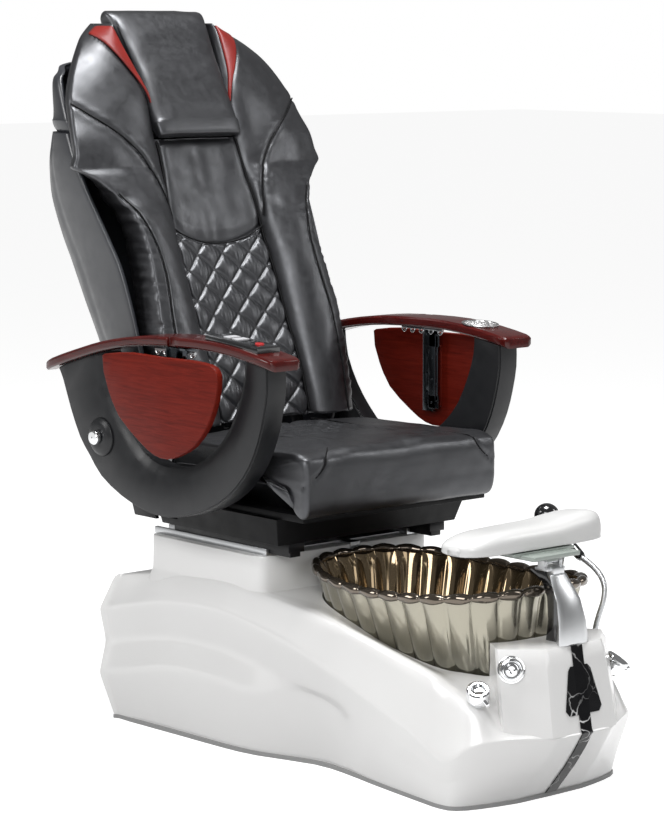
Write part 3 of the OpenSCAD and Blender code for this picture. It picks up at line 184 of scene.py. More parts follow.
def dress(node, mat, angle, bevel):
    """Gives a CAD node a material, softened edges and smooth shading; wide bevels take a third step."""
    o = NODES[node]
    o.data.materials.clear()
    o.data.materials.append(mat)
    o.modifiers.new("weld", "WELD").merge_threshold = WELD
    if bevel:
        b = o.modifiers.new("bevel", "BEVEL")
        b.width = bevel * MM
        b.segments = 3 if bevel >= 2 else 2
        b.limit_method = "ANGLE"
        b.angle_limit = math.radians(40)
    shade(o, angle)


def tube(name, pts, r, mat, body, steps, res):
    """Round curve through points given in millimetres."""
    line = catmull(pts, steps) if steps > 1 else np.array(pts, float)
    cu = bpy.data.curves.new(name, "CURVE")
    cu.dimensions = "3D"
    cu.bevel_depth = r * MM
    cu.bevel_resolution = res
    cu.use_fill_caps = True
    sp = cu.splines.new("POLY")
    sp.points.add(len(line) - 1)
    for q, p in zip(sp.points, line):
        q.co = (*(float(c) * MM for c in p), 1)
    cu.materials.append(mat)
    return place(name, cu, body)


def seam(name, pts, r, body):
    """Dark thread line along points."""
    return tube(name, pts, r, matte_black, body, 1, 2)


# ---- materials ----
def new_mat(name, colour, rough, metal=0.0, **kw):
    m = bpy.data.materials.new(name)
    m.use_nodes = True
    m.diffuse_color = (*colour, 1)
    b = m.node_tree.nodes["Principled BSDF"]
    b.inputs["Base Color"].default_value = (*colour, 1)
    b.inputs["Roughness"].default_value = rough
    b.inputs["Metallic"].default_value = metal
    for k, v in kw.items():
        b.inputs[k.replace("_", " ")].default_value = v
    return m, m.node_tree, b


def node(t, kind, **kw):
    n = t.nodes.new(kind)
    for k, v in kw.items():
        if k in n.inputs:
            n.inputs[k].default_value = v
        else:
            setattr(n, k, v)
    return n


def coords(t, scale=(1, 1, 1)):
    c = node(t, "ShaderNodeTexCoord")
    m = node(t, "ShaderNodeMapping")
    m.inputs["Scale"].default_value = scale
    t.links.new(c.outputs["Object"], m.inputs[0])
    return m.outputs[0]


def noise(t, vec, scale, detail=3, rough=0.5, dist=0.0):
    n = node(t, "ShaderNodeTexNoise", Scale=scale, Detail=detail, Roughness=rough, Distortion=dist)
    t.links.new(vec, n.inputs["Vector"])
    return n.outputs["Fac"]


def tint(t, b, fac, stops):
    """Colours the surface by a ramp."""
    r = node(t, "ShaderNodeValToRGB")
    e = r.color_ramp.elements
    while len(e) < len(stops):
        e.new(0.5)
    for el, (p, c) in zip(e, stops):
        el.position = p
        el.color = (*c, 1)
    t.links.new(fac, r.inputs[0])
    t.links.new(r.outputs[0], b.inputs["Base Color"])


def maths(t, operation, *values):
    """Maths node over outputs and floats."""
    n = node(t, "ShaderNodeMath", operation=operation)
    for socket, v in zip(n.inputs, values):
        if isinstance(v, float):
            socket.default_value = v
        else:
            t.links.new(v, socket)
    return n.outputs[0]


def map_range(t, fac, **ends):
    """Fits a value to a range; ends such as From_Min=0.3."""
    r = node(t, "ShaderNodeMapRange", **{k.replace("_", " "): v for k, v in ends.items()})
    t.links.new(fac, r.inputs[0])
    return r.outputs[0]


def bump(t, b, parts):
    """parts: [(height output, strength, distance in mm)] chained into one normal."""
    last = None
    for h, s, d in parts:
        n = node(t, "ShaderNodeBump", Strength=s, Distance=d * MM)
        t.links.new(h, n.inputs["Height"])
        if last:
            t.links.new(last, n.inputs["Normal"])
        last = n.outputs[0]
    t.links.new(last, b.inputs["Normal"])


def vary(t, b, vec, scale, lo, hi, detail=3):
    """Lets the roughness wander from lo to hi."""
    f = noise(t, vec, scale, detail)
    t.links.new(map_range(t, f, From_Min=0.3, From_Max=0.7, To_Min=lo, To_Max=hi), b.inputs["Roughness"])


def leather(name, dark, light, spec):
    grain = 520
    m, t, b = new_mat(name, dark, 0.4, Specular_IOR_Level=spec, Specular_Tint=(0.93, 0.95, 1.0, 1))
    v = coords(t)
    cells = node(t, "ShaderNodeTexVoronoi", Scale=grain, feature="DISTANCE_TO_EDGE")
    t.links.new(v, cells.inputs["Vector"])
    fine = noise(t, v, grain * 2.2, 2)
    soft = noise(t, v, 16, 3, 0.5, 0.4)
    tint(t, b, soft, [(0.3, dark), (0.75, light)])
    vary(t, b, v, 60, 0.34, 0.44)
    edge = map_range(t, cells.outputs["Distance"], From_Max=0.12)
    bump(t, b, [(soft, 0.14, 2.0), (edge, 0.13, 0.22), (fine, 0.08, 0.1)])
    return m


black_leather = leather("black_leather", (0.006, 0.006, 0.0068), (0.012, 0.012, 0.0135), spec=1.0)
red_leather = leather("red_leather", (0.15, 0.010, 0.007), (0.22, 0.016, 0.011), spec=0.35)


def plastic(name, colour, rough, grain=0.0, scale=900, coat=0.0, spread=0.06, spec=0.5):
    m, t, b = new_mat(name, colour, rough, Coat_Weight=coat, Coat_Roughness=0.12, Specular_IOR_Level=spec)
    v = coords(t)
    vary(t, b, v, 35, max(0.02, rough - spread), rough + spread)
    parts = [(noise(t, v, 9, 2), 0.08, 1.0)]
    if grain:
        parts.append((noise(t, v, scale, 3), grain, 0.15))
    bump(t, b, parts)
    return m


shell_black = plastic("shell_black", (0.024, 0.026, 0.031), 0.34, 0.05, 1100, spec=0.8)
casing_black = plastic("casing_black", (0.011, 0.0115, 0.013), 0.36, 0.12, 1300, spec=0.36)
matte_black = plastic("matte_black", (0.004, 0.004, 0.0045), 0.5, 0.15, 900, spec=0.14)
frame_black = plastic("frame_black", (0.006, 0.006, 0.007), 0.36, 0.15, 500, spec=0.25)
rubber = plastic("rubber", (0.02, 0.02, 0.02), 0.65, 0.5, 700)
grey_trim = plastic("grey_trim", (0.30, 0.30, 0.30), 0.5, 0.3, 500)
white_plastic = plastic("white_plastic", (0.8, 0.8, 0.78), 0.3, 0.1, 500)
black_gloss = plastic("black_gloss", (0.008, 0.008, 0.009), 0.08, 0, coat=0.8, spread=0.02)
red_gloss = plastic("red_gloss", (0.55, 0.015, 0.015), 0.25, 0, coat=0.5)
key_grey = plastic("key_grey", (0.5, 0.5, 0.52), 0.3, 0.1, 400)
motor_grey = plastic("motor_grey", (0.12, 0.12, 0.125), 0.45, 0.4, 500)


def metal(name, colour, rough, scratch=0.0):
    m, t, b = new_mat(name, colour, rough, 1.0)
    v = coords(t)
    vary(t, b, v, 18, max(0.02, rough * 0.88), rough * 1.12)
    parts = [(noise(t, v, 9, 2), 0.02, 0.5)]
    if scratch:
        parts.append((noise(t, coords(t, (1, 1, 30)), 120, 3), scratch, 0.1))
    bump(t, b, parts)
    return m


chrome = metal("chrome", (0.82, 0.83, 0.84), 0.06)
satin = metal("satin_metal", (0.62, 0.63, 0.64), 0.36)
cup_steel = metal("cup_steel", (0.80, 0.80, 0.80), 0.22)
slide_steel = metal("slide_steel", (0.085, 0.095, 0.105), 0.22)
steel = metal("zinc_steel", (0.52, 0.53, 0.54), 0.32, 0.08)


def pearl():
    m, t, b = new_mat("pearl_white", (0.78, 0.775, 0.765), 0.3, Coat_Weight=0.5, Coat_Roughness=0.1)
    v = coords(t)
    tint(t, b, noise(t, v, 2.2, 2), [(0.3, (0.765, 0.76, 0.755)), (0.7, (0.80, 0.798, 0.79))])
    vary(t, b, v, 5, 0.29, 0.33, detail=1)
    return m


pearl_white = pearl()


def pad_vinyl():
    m, t, b = new_mat("pad_ivory", (0.66, 0.66, 0.655), 0.34, Coat_Weight=0.2, Coat_Roughness=0.2)
    v = coords(t)
    vary(t, b, v, 6, 0.3, 0.38, detail=1)
    bump(t, b, [(noise(t, v, 8, 3), 0.2, 2.0), (noise(t, v, 900, 2), 0.15, 0.1)])
    return m


pad_ivory = pad_vinyl()


def wood(name, dark, mid, light, rough, coat, spec):
    """Cherry with its grain along y."""
    m, t, b = new_mat(name, mid, rough, Coat_Weight=coat, Coat_Roughness=0.06, Specular_IOR_Level=spec)
    v = coords(t, (60, 4, 60))
    grain = noise(t, v, 3.0, 8, 0.62, 0.9)
    pores = noise(t, coords(t, (360, 24, 360)), 6, 3, 0.6)
    tint(t, b, grain, [(0.25, dark), (0.52, mid), (0.8, light)])
    vary(t, b, v, 5, rough - 0.03, rough + 0.04, detail=1)
    bump(t, b, [(grain, 0.012, 0.2), (pores, 0.01, 0.05)])
    return m


arm_wood = wood("arm_cherry", (0.030, 0.002, 0.002), (0.060, 0.004, 0.003), (0.10, 0.008, 0.006),
                0.22, 0.2, 0.3)
panel_wood = wood("panel_cherry", (0.075, 0.005, 0.002), (0.135, 0.010, 0.005), (0.185, 0.018, 0.009),
                  0.4, 0.0, 0.12)


def marble():
    m, t, b = new_mat("black_marble", (0.01, 0.01, 0.012), 0.16, Specular_IOR_Level=0.22)
    v = coords(t)
    warp = node(t, "ShaderNodeTexNoise", Scale=11.0, Detail=4.0)
    t.links.new(v, warp.inputs["Vector"])
    add = node(t, "ShaderNodeMix", data_type="VECTOR")
    add.inputs[0].default_value = 0.12
    t.links.new(v, add.inputs[4])
    t.links.new(warp.outputs["Color"], add.inputs[5])
    vein = node(t, "ShaderNodeTexVoronoi", Scale=19.0, feature="DISTANCE_TO_EDGE")
    t.links.new(add.outputs[1], vein.inputs["Vector"])
    patch = noise(t, v, 16, 2)
    cut = maths(t, "MULTIPLY_ADD", patch, 0.12, vein.outputs["Distance"])
    tint(t, b, cut, [(0.055, (0.66, 0.66, 0.66)), (0.075, (0.12, 0.12, 0.12)),
                     (0.10, (0.006, 0.006, 0.007)), (1, (0.012, 0.012, 0.013))])
    bump(t, b, [(noise(t, v, 20, 2), 0.03, 0.5)])
    return m


marble_mat = marble()


def smoked_glass_painted_shade(name, low, high, rough, metal_w):
    """Semi-mirrored resin with painted shade and painted reflection, darker towards its foot, with faint
    drawn streaks.
    """
    m, t, b = new_mat(name, high, rough, metal_w, IOR=1.46, Coat_Weight=0.6, Coat_Roughness=0.02)
    sep = node(t, "ShaderNodeSeparateXYZ")
    t.links.new(coords(t), sep.inputs[0])
    # painted shade and reflection: the colour runs by height from the dark low colour at the foot up to the
    # high colour
    up = map_range(t, sep.outputs["Z"], From_Min=0.16, From_Max=0.38)
    streak = noise(t, coords(t, (90, 90, 5)), 1.0, 3, 0.6)
    tint(t, b, maths(t, "MULTIPLY_ADD", streak, 0.5, up), [(0.3, low), (0.95, high)])
    bump(t, b, [(streak, 0.05, 0.6)])
    return m


# the low colours are painted shade and reflection at the foot of the bowl wall, inside and out, and of the
# rim
bowl_out = smoked_glass_painted_shade("bowl_outer", (0.10, 0.105, 0.09), (0.34, 0.32, 0.255), 0.17, 0.8)
bowl_in = smoked_glass_painted_shade("bowl_inner", (0.035, 0.02, 0.009), (0.235, 0.17, 0.095), 0.07, 0.88)
rim_glass = smoked_glass_painted_shade("bowl_rim", (0.06, 0.045, 0.032), (0.13, 0.105, 0.08), 0.04, 0.85)
frosted = plastic("frosted_plate", (0.30, 0.34, 0.31), 0.16, 0, coat=0.6)


# ---- hose and cable, along the routes of their solids ----
HOSE = [(186, -470, 270), (186, -471, 284), (187, -473, 298), (189, -476, 312), (192, -479, 326),
        (196, -481, 340), (201, -480, 354), (207, -475, 367), (213, -465, 379), (218, -452, 389),
        (222, -438, 396), (225, -424, 402), (227, -408, 408), (228, -392, 414)]
CABLE = [(-276, 434, 591), (-277, 437, 575), (-278, 438, 558), (-278, 436, 540), (-278, 431, 522),
         (-278, 421, 505), (-278, 406, 490), (-278, 388, 479), (-278, 368, 472), (-278, 348, 468),
         (-277, 334, 466), (-272, 322, 465), (-263, 312, 465), (-254, 304, 465), (-249, 296, 465)]


def ribbed_hose(r, pitch, depth):
    """Spiral-wrapped metal hose as a mesh tube along a smooth line."""
    line = catmull(HOSE, 24)
    seg = np.linalg.norm(np.diff(line, axis=0), axis=1)
    s = np.concatenate([[0], np.cumsum(seg)])
    n = int(s[-1])
    t = np.linspace(0, s[-1], n)
    line = np.stack([np.interp(t, s, line[:, k]) for k in range(3)], 1)
    d = np.gradient(line, axis=0)
    d /= np.linalg.norm(d, axis=1)[:, None]
    ref = np.array([0.9, 0.1, -0.3])
    rings = []
    for i in range(n):
        u = np.cross(d[i], ref)
        u /= np.linalg.norm(u)
        w = np.cross(d[i], u)
        ring = []
        for a in turn(16):
            rr = r - depth * 0.5 * (1 + math.sin(2 * math.pi * t[i] / pitch + a))
            ring.append(line[i] + rr * (u * math.cos(a) + w * math.sin(a)))
        rings.append(ring)
    return lofted("hose", rings, steel, "base"), line


hose, hose_line = ribbed_hose(6.0, 3.2, 1.1)
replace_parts(hose, "shower_hose")
cable = tube("cable", CABLE, 2.5, rubber, "seat", 5, 4)
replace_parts(cable, "remote_cable")


# ---- outlines shared by the backrest pieces (z, half width, y), millimetres ----
SEAM_IN = [(640, 122, 305), (740, 121, 334), (835, 121, 378), (940, 121, 422), (1010, 119, 454),
           (1070, 118, 476), (1130, 111, 500), (1190, 107, 523), (1222, 107, 537),
           (1260, 107.5, 548), (1300, 107.5, 560), (1340, 111.5, 580), (1380, 119.5, 604),
           (1420, 126.5, 631), (1462, 132, 658)]
SEAM_OUT = [(640, 238, 302), (740, 240, 322), (835, 240, 347), (940, 231, 382), (1010, 227, 412),
            (1070, 236, 442), (1100, 255, 466), (1130, 278, 486), (1150, 302, 502), (1166, 328, 520),
            (1190, 319, 524), (1220, 316, 534), (1260, 306, 557), (1300, 296, 578), (1340, 278, 597),
            (1380, 252, 618), (1410, 224, 641), (1430, 200, 661), (1447, 170, 682), (1462, 140, 700)]


def seam_fn(rows, col):
    """Column of rows as a smooth function of z; limited slopes keep corners where they are."""
    z, c = np.array(rows, float)[:, [0, col]].T
    h = np.diff(z)
    s = np.diff(c) / h
    both = s[:-1] * s[1:]
    mean = 2 * both / (s[:-1] + s[1:] + 1e-12)
    m = np.concatenate([[s[0]], np.where(both > 0, mean, 0), [s[-1]]])
    zz = np.linspace(z[0], z[-1], 400)
    i = np.clip(np.searchsorted(z, zz, side="right") - 1, 0, len(h) - 1)
    t = (zz - z[i]) / h[i]
    y = ((1 + 2 * t) * (1 - t) ** 2 * c[i] + t * (1 - t) ** 2 * h[i] * m[i]
         + t * t * (3 - 2 * t) * c[i + 1] + t * t * (t - 1) * h[i] * m[i + 1])
    return lambda q: np.interp(q, zz, y)


xi, yi = seam_fn(SEAM_IN, 1), seam_fn(SEAM_IN, 2)
xo, yo = seam_fn(SEAM_OUT, 1), seam_fn(SEAM_OUT, 2)
WING_SEAM = catmull([(122, 1052), (126, 1074), (131, 1100), (144, 1140), (164, 1180), (192, 1213),
                     (227, 1243), (262, 1268), (300, 1296)], 8)
RED_EDGE = catmull([(108.5, 1293), (113, 1308), (120, 1325), (131, 1345), (143, 1363), (156, 1384),
                    (169, 1405), (180, 1424), (189, 1440), (194, 1452)], 6)


def near_line(x, z, line):
    """Distance from points to a polyline in the x-z plane."""
    best = np.full(np.shape(x), 1e9)
    for (ax, az), (bx, bz) in zip(line[:-1], line[1:]):
        dx, dz = bx - ax, bz - az
        t = np.clip(((x - ax) * dx + (z - az) * dz) / (dx * dx + dz * dz + 1e-9), 0, 1)
        best = np.minimum(best, np.hypot(x - ax - t * dx, z - az - t * dz))
    return best


def bell(d, width):
    return np.exp(-(d / width) ** 2)


def groove(d, depth, width):
    return -depth * bell(d, width)


def wave_noise(seed, n, lo, hi, stretch=(1, 1, 1)):
    """Sum of fixed random waves: a smooth repeatable noise over points in millimetres."""
    rng = np.random.default_rng(seed)
    k = rng.normal(size=(n, 3))
    k /= np.linalg.norm(k, axis=1)[:, None]
    k *= (2 * np.pi / rng.uniform(lo, hi, n))[:, None]
    k *= np.array(stretch)
    ph = rng.uniform(0, 6.28, n)
    return lambda p: np.sin(p @ k.T + ph).sum(axis=1) / math.sqrt(n)


def displace(o, fn):
    """Moves vertices along their normals by fn(points in millimetres, normals), in millimetres."""
    me = o.data
    co, no = np.empty((2, len(me.vertices) * 3))
    me.vertices.foreach_get("co", co)
    me.vertices.foreach_get("normal", no)
    co, no = co.reshape(-1, 3), no.reshape(-1, 3)
    d = fn(co * 1000, no) * MM
    me.vertices.foreach_set("co", (co + no * d[:, None]).ravel())
    me.update()


# ---- centre cushion of the back ----
def leather_piece(name, rings, body):
    """Black leather piece over rings."""
    return lofted(name, rings, black_leather, body)


def smoothstep(x):
    x = np.clip(x, 0, 1)
    return x * x * (3 - 2 * x)


QW, QH = 70.0, 66.0
YOKE_Z, YOKE_RISE, YOKE_W = 999, 33, 118
BACK_LOW, CENTRE_TOP, WING_TOP, SIDE_SEAM_TOP = 641, 1217, 1459, 1112


def yoke_edge(x):
    """Height of the curved seam between quilting and yoke."""
    return YOKE_Z + YOKE_RISE * (np.abs(x) / YOKE_W) ** 2.2


def quilt(x, s, puff):
    """Padded diamonds with puckered seams, s along the leather."""
    a, b = x / QW + s / QH, x / QW - s / QH
    fa, fb = np.abs(np.sin(np.pi * a)), np.abs(np.sin(np.pi * b))
    near = np.minimum(fa, fb)
    body = (fa * fb) ** 0.55
    pucker = np.sin(a * 41 + b * 9) * np.sin(b * 37 - a * 7) * bell(near, 0.3)
    pleat = np.sin(x * 0.62 + 2.2 * np.sin(s / 19)) * np.sin(s / 27 + x / 40)
    return puff * body + 0.6 * pucker * body + 0.55 * pleat * body + groove(near, 3.0, 0.13)


def centre_cushion():
    rings = []
    for z in np.linspace(BACK_LOW, CENTRE_TOP, 270):
        w, yc = xi(z) - 0.8, yi(z) + 10
        u = np.linspace(1, -1, 121)
        front = np.stack([w * u, yc - 10 * u * u + 9 * np.abs(u) ** 14, np.full(121, z)], 1)
        back = [[x, yc + y, z] for x, y in ((-w, 46), (8 - w, 54), (0, 54), (w - 8, 54), (w, 46))]
        rings.append(np.concatenate([front, back]))
    o = leather_piece("back_centre", rings, "back")
    wn = wave_noise(3, 14, 25, 90, (1, 1, 0.5))

    def fn(p, n):
        x, y, z = p.T
        front = np.clip(-n[:, 1] * 2 - 0.5, 0, 1)
        edge = yoke_edge(x)
        low = smoothstep((edge - z) / 7)
        rim = smoothstep((xi(z) - np.abs(x)) / 9)
        d = low * quilt(x, z * 1.066 + 13, 7.0) * rim
        up = (1 - low) * (4.5 * smoothstep((z - edge) / 30) * rim + 0.9 * wn(p) * rim)
        return (d + up + groove(z - edge, 3.5, 4.5) + groove(z - CENTRE_TOP, 6, 9)) * front

    displace(o, fn)
    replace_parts(o, "back_cushion")


centre_cushion()

# Upper part behind the pillow.
rings = []
for z in np.linspace(1223, 1450, 20):
    w, f = xi(z) - 0.8, 592 + (z - 1222) * 0.5218
    rings.append([[w * spow(math.cos(t), 0.4), f + 14 - 14 * spow(math.sin(t), 0.4), z] for t in turn(48)])
leather_piece("back_upper", rings, "back")


# ---- wings ----
def across(x, z):
    """Share of the way from the inner seam to the outer one."""
    return (x - xi(z)) / (xo(z) - xi(z))


def wing_front(u, z):
    """Front face at a share u of the way across."""
    a, b = (xi(z), yi(z)), (xo(z), yo(z))
    amp = np.interp(z, [1000, 1130], [26, 18])
    bulge = amp * np.sin(np.pi * u ** 0.8) ** 0.8
    return a[0] + (b[0] - a[0]) * u, a[1] + (b[1] - a[1]) * u - bulge


def wing(side, tag):
    rings = []
    count = 56
    for z in np.concatenate([np.linspace(BACK_LOW, 1120, 92), np.linspace(1124, 1200, 26),
                             np.linspace(1204, WING_TOP, 56)]):
        u = 1 - np.linspace(0, 1, count)
        x, y = wing_front(np.clip(u, 0, 1), z)
        deep = float(np.interp(z, [700, 800, 980, 1095, 1135, 1170, 1300, 1440],
                               [80, 94, 92, 84, 44, 28, 30, 24]))
        inner = float(np.interp(z, [1210, 1240, 1380, WING_TOP], [50, 60, 56, 30]))
        front = np.stack([x, y + 12 * (1 - u) ** 22, np.full(count, z)], 1)
        X, Y, x0, y0 = xo(z), yo(z), xi(z), yi(z)
        # the back, then the side panel and the rounded outer edge
        back = [[x0 + 0.8, y0 + 16], [x0 + 1, y0 + inner - 8], [x0 + 8, y0 + inner],
                [x0 + (X - x0) * 0.55, 0.45 * y0 + 0.55 * Y + (inner + deep) / 2 + 8]]
        edge = [[X - 10, Y + deep], [X - 4, Y + deep * 0.9], [X - 1, Y + deep * 0.7],
                [X + 1, Y + deep * 0.45], [X + 2, Y + 11], [X + 1.5, Y + 5]]
        ring = np.concatenate([front, [[a, b, z] for a, b in back + edge]])
        ring[:, 0] *= side
        rings.append(ring)
    o = leather_piece("wing_" + tag, rings, "back")
    soft_seed, crease_seed = (11, 21) if side > 0 else (12, 22)
    wn = wave_noise(soft_seed, 18, 30, 140, (1, 1, 0.6))
    gath = wave_noise(crease_seed, 12, 14, 34, (0.15, 0.2, 1.6))
    outer_seam = np.array([(xo(z) - 9 - 17 * float(smoothstep((SIDE_SEAM_TOP - z) / 170)), z)
                           for z in np.linspace(SIDE_SEAM_TOP, BACK_LOW, 60)])

    def fn(p, n):
        x, y, z = p.T
        x = np.abs(x)
        front = np.clip(-n[:, 1] * 2.5 - 0.3, 0, 1)
        u = np.clip(across(x, z), 0, 1)
        d = 1.1 * wn(p) * np.clip(np.sin(np.pi * u), 0, 1)
        s1, s2, s3 = (near_line(x, z, line) for line in (WING_SEAM, outer_seam, RED_EDGE))
        d += groove(s1, 4.0, 2.4) + 1.2 * bell(s1 - 11, 8)
        d += groove(s2, 4.0, 2.4) + groove(s3, 3.0, 2.4)
        d += 1.0 * gath(p) * (bell(s1 - 8, 14) * 0.5 + bell(s2, 16) * 0.7)
        d *= front
        outer = np.clip(side * n[:, 0], 0, 1)
        return d + 2.0 * gath(p) * outer * (z < 1130)

    displace(o, fn)
    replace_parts(o, "wing_pad_" + tag)
    for line, part in ((WING_SEAM, "seam"), (outer_seam, "side_seam")):
        pts = [(side * x, wing_front(min(max(across(x, z), 0), 1), z)[1] + 0.6, z) for x, z in line]
        seam("wing_%s_%s" % (tag, part), pts, 1.7, "back")


for side, tag in SIDES:
    pts = [(side * xi(z), yi(z) + 4, z) for z in np.linspace(648, 1214, 60)]
    seam("centre_seam_" + tag, pts, 2.6, "back")
yoke = []
for x in np.linspace(-117, 117, 50):
    rise = yoke_edge(x) - YOKE_Z
    yoke.append((x, yi(1010) + 8 - 10 * (x / YOKE_W) ** 2 + 0.44 * (rise - 8) - 3.2, YOKE_Z + rise))
seam("yoke_seam", yoke, 1.5, "back")
for side, tag in SIDES:
    wing(side, tag)


def red_gore(side, tag):
    """Red leather beside the pillow."""
    rows = []
    for x1, z in RED_EDGE:
        x0 = xi(z) + 9 * float(smoothstep((z - 1300) / 60))
        x1 = max(min(x1 - 1.5, xo(z) - 2), x0 + 0.4)
        row = []
        for k in range(13):
            x = x0 + (x1 - x0) * k / 12
            _, y = wing_front(np.float64(max(across(x, z), 0)), z)
            lift = 1.6 * math.sin(math.pi * k / 12) ** 0.35 if 0 < k < 12 else -1.2
            row.append([side * x, y - lift * 0.9 - 1.6, z + lift * 0.4 + 0.6])
        rows.append(row)
    r = np.array(rows)
    o = add_mesh("red_gore_" + tag, r.reshape(-1, 3), quads(*r.shape[:2], closed=False),
                 red_leather, "back")
    sol = o.modifiers.new("thick", "SOLIDIFY")
    sol.thickness = 2.5 * MM
    sol.offset = 0


for side, tag in SIDES:
    red_gore(side, tag)


# ---- head pillow ----
# (distance up the slope, half width, rear and front faces off the slope)
ROWS = [(-30, 101, 57, 64), (-28.5, 105, 49, 70), (-23, 108, 44, 74), (-10, 110, 41, 76), (2, 110.5, 37, 77),
        (12, 111, 3, 77), (60, 111.5, 1, 76), (110, 112, 1, 74), (150, 114, 1, 71), (190, 118, 1, 67),
        (225, 123, 1, 63), (252, 127, 3, 57), (268, 129, 8, 49), (278, 126, 17, 38), (282, 120, 24, 30)]
P_O, P_D, P_N = np.array([0, 592, 1222.0]), np.array([0, 0.4626, 0.8866]), np.array([0, -0.8866, 0.4626])


def head_pillow():
    rings = []
    for s, w, t0, t1 in catmull(ROWS, 5):
        mid, half = (t0 + t1) / 2, (t1 - t0) / 2
        rings.append([P_O + P_D * s + np.array([w * spow(math.cos(a), 0.28), 0, 0])
                      + P_N * (mid + half * spow(math.sin(a), 0.42)) for a in turn(72)])
    pillow = leather_piece("pillow", rings, "pillow")
    wn = wave_noise(31, 12, 45, 160)

    def fn(p, n):
        side = np.clip(np.abs(n[:, 0]), 0, 1)
        return 1.3 * wn(p) * (1 - side) + groove((p - P_O) @ P_N - 52, 2.2, 2.2) * side

    displace(pillow, fn)
    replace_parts(pillow, "head_pillow")


head_pillow()


# ---- seat cushion ----
SEAT_TOP = [(-102, 634), (-84, 638), (-50, 639), (20, 638), (100, 635), (180, 632), (250, 631), (292, 628)]
SEAM_TOP = catmull([(118, 300, 636), (118, 200, 636), (117, 119, 636), (101, 62, 638), (104, 10, 640),
                    (130, -36, 640), (172, -86, 639), (196, -110, 632), (206, -120, 612), (222, -121, 595),
                    (243, -119, 580), (257, -112, 570)], 8)


def seat_ring(x):
    """Closed side profile at x: nose, crowned top, rear, and an underside raised at the sides."""
    k = min(1.0, abs(x) / 250) ** 3
    pts = [(-100, 505), (-112, 512), (-119, 530), (-120.5, 560), (-120.5, 595), (-116, 620)]
    pts += [(y, z - 7 * k) for y, z in SEAT_TOP]
    pts += [(304, 618), (309, 600), (309, 580)]
    if abs(x) > 204.5:
        pts += [(304, 566), (240, 562), (120, 562), (20, 562), (-54, 561), (-76, 551), (-89, 532), (-94, 512)]
    else:
        pts += [(306, 520)] + [(y, 505) for y in (240, 120, 20, -40, -60, -76, -90)]
    return catmull(pts, 5, closed=True)


SEAT_HALF, SEAT_ROUND = 258, 14


def seat_cushion():
    half = np.concatenate([np.linspace(0, 203.5, 58), [204, 205], np.linspace(207, 244, 16),
                           [248, 251, 253.6, 255.6, 257, 257.8, 258]])
    centre, reach = np.array([95.0, 590.0]), np.array([215.0, 60.0])
    rings = []
    for x in np.concatenate([-half[:0:-1], half]):
        edge = max(0.0, (abs(x) - SEAT_HALF + SEAT_ROUND) / SEAT_ROUND)
        shrink = SEAT_ROUND * (1 - math.sqrt(max(0.0, 1 - edge * edge)))
        prof = centre + (seat_ring(x) - centre) * (1 - shrink / reach)
        rings.append([[x, y, z] for y, z in prof])
    o = leather_piece("seat_pad", rings, "seat")
    wn = wave_noise(41, 20, 60, 190)
    fine = wave_noise(43, 10, 18, 44, (0.5, 1.3, 1))
    edge_line = np.array([(SEAT_HALF, y, 628 - 5 * (y > 0)) for y in np.linspace(-84, 300, 60)])

    def fn(p, n):
        x, y, z = p.T
        x = np.abs(x)
        q3 = np.stack([x, y, z], 1)
        up = np.clip(n[:, 2] * 1.6 - 0.3, 0, 1)
        q = smoothstep((112 - x) / 6) * smoothstep((y - 96) / 6)
        d = up * q * (quilt(p[:, 0], y + 20, 4.6) - 1.5)
        d += up * (1 - q) * 1.2 * wn(p)
        d += groove(np.where(x < 116, np.abs(y - 92), 99), 2.2, 3.5) * up
        for line, depth, wide in ((SEAM_TOP, 3.4, 2.6), (edge_line, 2.6, 2.8)):
            dd = np.full(len(p), 1e9)
            for a in line:
                dd = np.minimum(dd, np.linalg.norm(q3 - a, axis=1))
            d += groove(dd, depth, wide) + 0.6 * bell(dd - 9, 7)
        d += (0.6 * wn(p) + 0.25 * fine(p)) * (1 - up)
        # the side panels are set in below the piping
        sides = (np.abs(n[:, 0]) > 0.6) * (x > 240)
        return d - 6.5 * smoothstep((y + 86) / 8) * smoothstep((620 - z) / 6) * sides

    displace(o, fn)
    for side, tag in SIDES[::-1]:
        pts = []
        for x, y, z in SEAM_TOP:
            front = z < 634
            pts.append((side * (x - (1.6 if front else 0)), y + (1.8 if front else 0),
                        z - (3.6 if z > 630 else 0.8)))
        seam("seat_seam_" + tag, pts, 1.2, "seat")
    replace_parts(o, "seat_cushion")


seat_cushion()


def slab(bm, x0, x1, y0, y1, z0, z1, r):
    """Adds a block with rounded edges, in millimetres."""
    part = bmesh.new()
    bmesh.ops.create_cube(part, size=1)
    for q in part.verts:
        q.co = Vector([a + (b - a) * (c + 0.5) for c, a, b in zip(q.co, (x0, y0, z0), (x1, y1, z1))])
    bmesh.ops.bevel(part, geom=part.edges, offset=r, segments=3, affect="EDGES", profile=0.6)
    me = bpy.data.meshes.new("t")
    part.to_mesh(me)
    part.free()
    bm.from_mesh(me)
    bpy.data.meshes.remove(me)


def solid(name, bm, mat, body):
    """Turns millimetre bmesh geometry into a smooth-shaded piece."""
    bmesh.ops.scale(bm, vec=(MM, MM, MM), verts=bm.verts)
    me = bpy.data.meshes.new(name)
    bm.to_mesh(me)
    bm.free()
    me.materials.append(mat)
    me.polygons.foreach_set("use_smooth", [True] * len(me.polygons))
    o = place(name, me, body)
    shade(o, 35)
    return o


# ---- footrest pad ----
PAD_X, PAD_Y, PAD_D, PAD_Z = 180.0, -455.0, 66.0, 474.0
PAD_TOP = catmull([(-180, 503), (-165, 509), (-123, 518), (-45, 521), (43, 523), (100, 532), (150, 540),
                   (180, 539)], 8)


